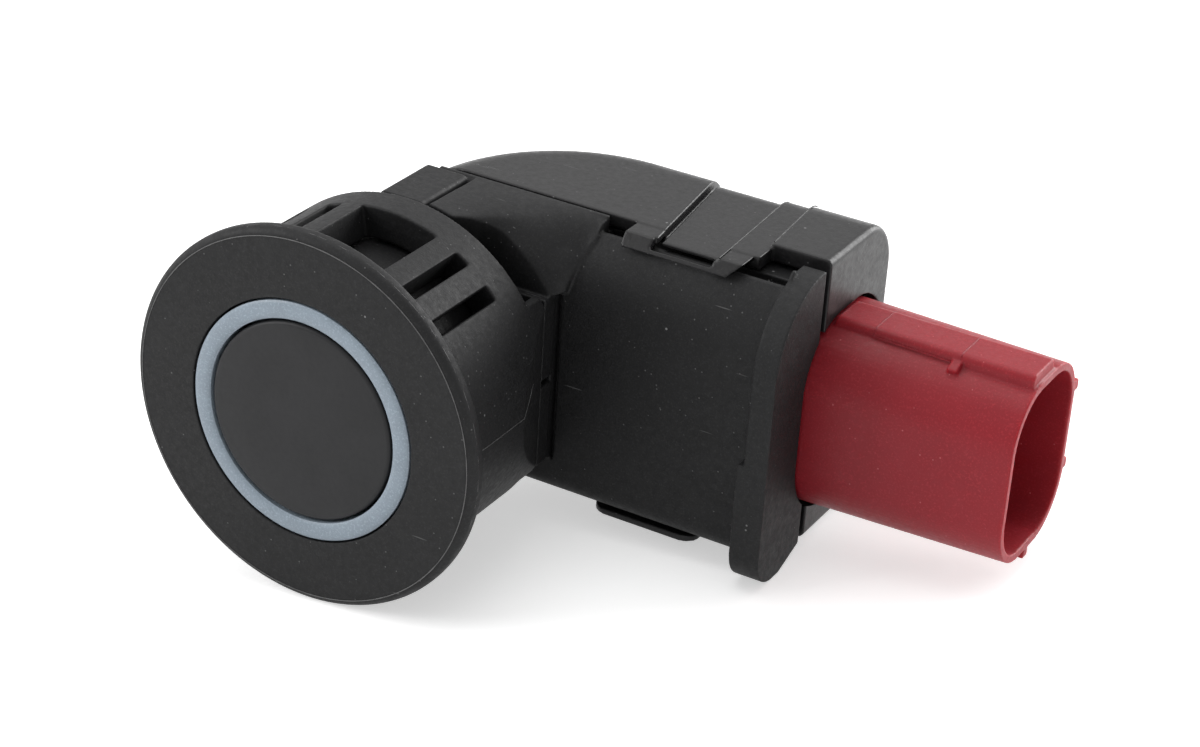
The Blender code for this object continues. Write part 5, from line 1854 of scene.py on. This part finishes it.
@dataclass
class Connector:
    """Red shroud of the connector with its key, and the three blades inside."""

    case: Case = field(default_factory=Case)
    left: float = 24.4
    mouth: float = 43.6
    wall: float = 0.9
    floor: float = 30.4
    draft: float = 0.35
    collar_thickness: float = 1.2
    collar_rise: float = 1.8
    collar_half: float = 6.1
    collar_corner: float = 1.5
    key_width: float = 3.6
    key_rise: float = 0.45
    key_shift: float = -0.8
    key_tab: float = 0.25
    nub_rise: float = 0.85
    nub_width: float = 0.8
    nub_length: float = 1.6
    nub_step: float = 0.1
    nub_heights: tuple[float, float] = (3.4, -2.8)
    nub_below_shift: float = 0.4
    tab_left: float = 37.45
    tab_width: float = 0.75
    tab_rise: float = 0.22
    tab_angles: tuple[float, float] = (92.0, 118.0)
    insert_lines: tuple[float, float] = (31.6, 38.0)
    insert_inset: float = 0.4
    insert_sink: float = 0.02
    insert_radius: float = 0.045
    key_foot_out: float = 0.05
    key_foot_sinks: tuple[float, float] = (0.12, 0.24)
    blade_pitch: float = 3.6
    slot_half_width: float = 0.55
    slot_half_thickness: float = 0.45

    def tube(self, name: str, start: float, end: float, low: float, high: float) -> bpy.types.Object:
        """Loft along X between two sizes of the connector's cross section.

        Args:
            name: Name of the solid.
            start: Growth of the section at the left.
            end: Growth of the section at the right.
            low: Left end.
            high: Right end.

        Returns:
            The closed solid.
        """
        sections = [[(x, y, z) for y, z in self.case.shroud_outline(growth)]
                    for x, growth in ((low, start), (high, end))]
        return loft(name, sections)

    def key(self) -> bpy.types.Object:
        """Raised band along the top of the shroud.

        Returns:
            The closed solid.
        """
        case = self.case
        centre = case.shroud_centre + self.key_shift
        low = case.shroud_height / 2 - self.wall
        high = case.shroud_height / 2 + self.key_rise
        near = centre - self.key_width / 2
        far = centre + self.key_width / 2
        corners = [(near, low), (far, low), (far, high), (near, high)]
        outline = rounded_polygon(corners, (0.0, 0.0, self.key_rise, self.key_rise), 6)
        return prism("key", outline, case.cover_right + case.ring_gap, self.mouth - self.key_tab, Axis.X)

    def nubs(self) -> list[bpy.types.Object]:
        """Small keys that stand off the back and the underside beside the mouth.

        Returns:
            The three solids.
        """
        case = self.case
        end = self.mouth - self.nub_step
        start = end - self.nub_length
        half = self.nub_width / 2
        root = -self.draft - self.wall / 2
        tip = self.nub_rise - self.draft
        back = case.shroud_centre + case.shroud_width / 2
        bottom = -case.shroud_height / 2
        forms = []
        for z in self.nub_heights:
            forms.append(block(f"nub_{len(forms)}", (start, back + root, z - half),
                               (end, back + tip, z + half)))
        y = case.shroud_centre + self.nub_below_shift
        forms.append(block("nub_below", (start, y - half, bottom - tip), (end, y + half, bottom - root)))
        return forms

    def tab(self) -> bpy.types.Object:
        """Small round-ended tab that lies over the shroud's front corner beside the key.

        Returns:
            The closed solid.
        """
        case = self.case
        centre = (case.shroud_centre - case.shroud_width / 2 + case.shroud_corner,
                  case.shroud_height / 2 - case.shroud_corner)
        start, end = self.tab_angles
        outline = arc(centre, case.shroud_corner + self.tab_rise, start, end, 12)
        outline += arc(centre, case.shroud_corner - self.wall / 2, end, start, 12)
        return prism("tab", outline, self.tab_left, self.tab_left + self.tab_width, Axis.X)

    def collar(self) -> bpy.types.Object:
        """Collar inside the housing that holds the connector.

        Returns:
            The closed solid.
        """
        case = self.case
        inset = case.shroud_width / 2 - case.neck_inset
        front = case.shroud_centre - inset - self.collar_rise
        back = case.shroud_centre + inset
        half = self.collar_half
        corners = [(front, -half), (back, -half), (back, half), (front, half)]
        outline = rounded_polygon(corners, (self.collar_corner,) * 4)
        return prism("collar", outline, self.left, self.left + self.collar_thickness, Axis.X)

    def build_lines(self, shop: Workshop) -> None:
        """Sweeps the insert lines across the key and along its front edge.

        Args:
            shop: Workshop that places and dresses the pieces.
        """
        case = self.case
        near = case.shroud_centre + self.key_shift - self.key_width / 2
        far = near + self.key_width
        top = case.shroud_height / 2 + self.key_rise
        for number, x in enumerate(self.insert_lines):
            draft = self.draft * (x - case.shroud_shoulder) / (self.mouth - case.shroud_shoulder)
            path = [(x, near - self.insert_sink, top - self.key_rise - draft), (x, near + 0.08, top - 0.12),
                    (x, near + self.insert_inset, top - self.insert_sink),
                    (x, far - self.insert_inset, top - self.insert_sink)]
            line = FineLine(f"insert_line_{number}", path, self.insert_radius, 0.5, 7.0 + number)
            line.build(shop, Slot.RED)
        path = [(x, near - self.key_foot_out, case.shroud_height / 2 - sink)
                for x, sink in zip(self.insert_lines, self.key_foot_sinks)]
        FineLine("key_foot_line", path, 0.05, 0.7, 9.0).build(shop, Slot.RED)

    def build(self, shop: Workshop) -> None:
        """Fuses the forms of the shroud, opens its socket and dresses the blades.

        Args:
            shop: Workshop that places and dresses the pieces.
        """
        case = self.case
        shroud = self.tube("connector_moulding", 0.0, -self.draft, case.shroud_shoulder, self.mouth)
        neck = prism("neck", case.shroud_outline(-case.neck_inset), self.left + case.fit_gap,
                     case.shroud_shoulder + case.fit_gap, Axis.X)
        for form in [neck, self.collar(), self.key(), self.tab()] + self.nubs():
            combine(shroud, form, Cut.ADD)
        socket = self.tube("socket", -self.wall - self.draft, -self.wall, self.floor,
                           self.mouth + case.overrun)
        combine(shroud, socket, Cut.TAKE)
        for number, row in enumerate((-1, 0, 1)):
            z = row * self.blade_pitch
            slot = block(f"blade_slot_{number}",
                         (self.left - case.overrun, case.shroud_centre - self.slot_half_thickness,
                          z - self.slot_half_width),
                         (self.floor + case.overrun, case.shroud_centre + self.slot_half_thickness,
                          z + self.slot_half_width))
            combine(shroud, slot, Cut.TAKE)
        Rounding(voxel=0.08, passes=5, triangles=150_000).apply(shroud)
        shop.finish(shroud, Slot.RED, "connector_shroud")
        self.build_lines(shop)
        for side in ("upper", "middle", "lower"):
            shop.dress(f"terminal_{side}", Slot.TIN)


@dataclass
class Electronics:
    """Board and components inside the closed housing, which keep their solids."""

    dressing: dict[str, Slot] = field(default_factory=lambda: {
        "circuit_board": Slot.BOARD,
        "transformer_core": Slot.FERRITE,
        "transformer_winding": Slot.COPPER,
        "control_chip": Slot.RESIN,
        "tall_capacitor": Slot.ALUMINIUM,
        "chip_capacitor_1": Slot.CERAMIC,
        "chip_capacitor_2": Slot.CERAMIC,
        "chip_resistor_1": Slot.RESIN,
        "chip_resistor_2": Slot.RESIN,
        "chip_resistor_3": Slot.RESIN,
    })

    def build(self, shop: Workshop) -> None:
        """Dresses every component."""
        for node, slot in self.dressing.items():
            shop.dress(node, slot)


@dataclass(frozen=True)
class Lamp:
    """Soft box that looks at the sensor.

    Attributes:
        name: Name of the lamp.
        place: Its place in metres.
        size: Its width and height in metres.
        power: Its power in watts.
    """

    name: str
    place: tuple[float, float, float]
    size: tuple[float, float]
    power: float

    def build(self) -> None:
        """Adds the lamp to the scene."""
        data = bpy.data.lights.new(self.name, "AREA")
        data.shape = "RECTANGLE"
        data.size, data.size_y = self.size
        data.energy = self.power
        lamp = link_object(self.name, data)
        lamp.location = self.place
        lamp.rotation_mode = "QUATERNION"
        lamp.rotation_quaternion = (-Vector(self.place)).to_track_quat("-Z", "Y")


@dataclass
class Studio:
    """Floor, lamps and camera.

    Attributes:
        azimuth: Direction of view, zero along +Y and growing towards -X, in degrees.
        elevation: Height of the camera above the level, in degrees.
        roll: Turn of the camera about its own axis, in degrees.
        camera_place: Place of the camera in millimetres from the centre of the face.
        lens: Focal length on a sensor 36 mm wide.
        floor_normal: Normal of the floor on which the disc and the flange rest.
        floor_contact: A point of that floor, in millimetres from the centre of the face.
        floor_size: Side of the floor in metres.
        floor_glow: Light that the camera sees on top of what the floor reflects.
        fill: Strength of the surroundings, apart from where the camera or a mirror sees them.
        lamps: The soft boxes.
    """

    azimuth: float = 28.52
    elevation: float = 27.78
    roll: float = 3.82
    camera_place: tuple[float, float, float] = (96.61, -135.76, 92.40)
    lens: float = 83.93
    floor_normal: tuple[float, float, float] = (-0.088, -0.058, 0.994)
    floor_contact: tuple[float, float, float] = (0.0, 0.5, -14.02)
    floor_size: float = 3.0
    floor_glow: float = 0.5
    fill: float = 0.45
    lamps: tuple[Lamp, ...] = (
        Lamp("top_box", (-0.15, 0.10, 0.75), (0.7, 0.7), 2.8),
        Lamp("back_box", (0.35, 0.70, 0.30), (0.7, 0.5), 7.5),
        Lamp("left_box", (-0.60, -0.35, 0.35), (0.4, 0.4), 3.0),
    )

    def place(self, origin: Vector, point: Sequence[float]) -> Vector:
        """A point given in millimetres from the centre of the face, in metres in the frame."""
        return origin + Vector(point) * MM

    def build_camera(self, origin: Vector) -> None:
        """Sets the camera at the photograph's point of view.

        Args:
            origin: Centre of the face in the frame, in metres.
        """
        azimuth = math.radians(self.azimuth)
        elevation = math.radians(self.elevation)
        forward = Vector((-math.sin(azimuth) * math.cos(elevation),
                          math.cos(azimuth) * math.cos(elevation), -math.sin(elevation)))
        level = Vector((math.cos(azimuth), math.sin(azimuth), 0.0))
        upright = level.cross(forward)
        roll = math.radians(self.roll)
        right = level * math.cos(roll) + upright * math.sin(roll)
        up = right.cross(forward)
        data = bpy.data.cameras.new("studio_camera")
        data.lens = self.lens
        data.sensor_width = 36.0
        data.sensor_fit = "HORIZONTAL"
        data.clip_start = 0.01
        data.clip_end = 10.0
        camera = link_object("studio_camera", data)
        axes = Matrix((right, up, -forward)).transposed().to_4x4()
        camera.matrix_world = Matrix.Translation(self.place(origin, self.camera_place)) @ axes
        bpy.context.scene.camera = camera

    def floor_material(self) -> bpy.types.Material:
        """White floor that keeps the object's soft shadow.

        Returns:
            The finished material.
        """
        graph = Graph("floor_white")
        grain = graph.noise(900.0, 3.0, 0.6)
        tone = graph.blend(grain, (0.86, 0.86, 0.86), (0.92, 0.92, 0.92))
        graph.paint(tone)
        graph.set(Roughness=0.9)
        graph.relief((grain, 0.15, 0.0001))
        path = graph.add("ShaderNodeLightPath")
        glow = graph.add("ShaderNodeEmission")
        either = graph.math("MAXIMUM", path.outputs["Is Camera Ray"], path.outputs["Is Glossy Ray"])
        seen = graph.math("MULTIPLY", either, self.floor_glow)
        graph.link(seen, glow.inputs["Strength"])
        both = graph.add("ShaderNodeAddShader")
        graph.link(graph.shader.outputs["BSDF"], both.inputs[0])
        graph.link(glow.outputs["Emission"], both.inputs[1])
        graph.link(both.outputs["Shader"], graph.tree.nodes["Material Output"].inputs["Surface"])
        return graph.material

    def build_floor(self, origin: Vector) -> None:
        """Lays the floor under the disc's rim and the flange's foot.

        Args:
            origin: Centre of the face in the frame, in metres.
        """
        half = self.floor_size / 2
        bm = bmesh.new()
        corners = [bm.verts.new((x * half, y * half, 0.0)) for x, y in ((-1, -1), (1, -1), (1, 1), (-1, 1))]
        bm.faces.new(corners)
        mesh = bpy.data.meshes.new("floor")
        bm.to_mesh(mesh)
        bm.free()
        floor = link_object("floor", mesh)
        turn = Vector((0.0, 0.0, 1.0)).rotation_difference(Vector(self.floor_normal).normalized())
        mesh.transform(Matrix.Translation(self.place(origin, self.floor_contact))
                       @ turn.to_matrix().to_4x4())
        mesh.materials.append(self.floor_material())

    def build_world(self) -> None:
        """White surroundings for the camera and mirrors, and a soft fill for the rest."""
        world = bpy.data.worlds.new("studio")
        bpy.context.scene.world = world
        world.use_nodes = True
        nodes = NodeWriter(world.node_tree)
        path = nodes.add("ShaderNodeLightPath").outputs
        mirrored = nodes.math("MAXIMUM", path["Is Glossy Ray"], path["Is Transmission Ray"])
        seen = nodes.math("MAXIMUM", path["Is Camera Ray"], mirrored)
        back = world.node_tree.nodes["Background"]
        back.inputs["Color"].default_value = (1.0, 1.0, 1.0, 1.0)
        nodes.link(nodes.remap(seen, 0.0, 1.0, self.fill, 1.0), back.inputs["Strength"])

    def build(self, origin: Vector) -> None:
        """Builds the whole set.

        Args:
            origin: Centre of the face in the frame, in metres.
        """
        scene = bpy.context.scene
        scene.view_settings.view_transform = "Standard"
        self.build_camera(origin)
        self.build_floor(origin)
        self.build_world()
        for lamp in self.lamps:
            lamp.build()


def main() -> None:
    """Builds every sub-assembly and the studio."""
    logging.basicConfig(level=logging.INFO, format="%(name)s: %(message)s")
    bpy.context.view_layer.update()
    shop = Workshop()
    for assembly in (Face(), Housing(), Cover(), Connector(), Electronics()):
        assembly.build(shop)
        LOG.info("%s built", type(assembly).__name__)
    Studio().build(shop.origin)


if __name__ == "__main__":
    main()
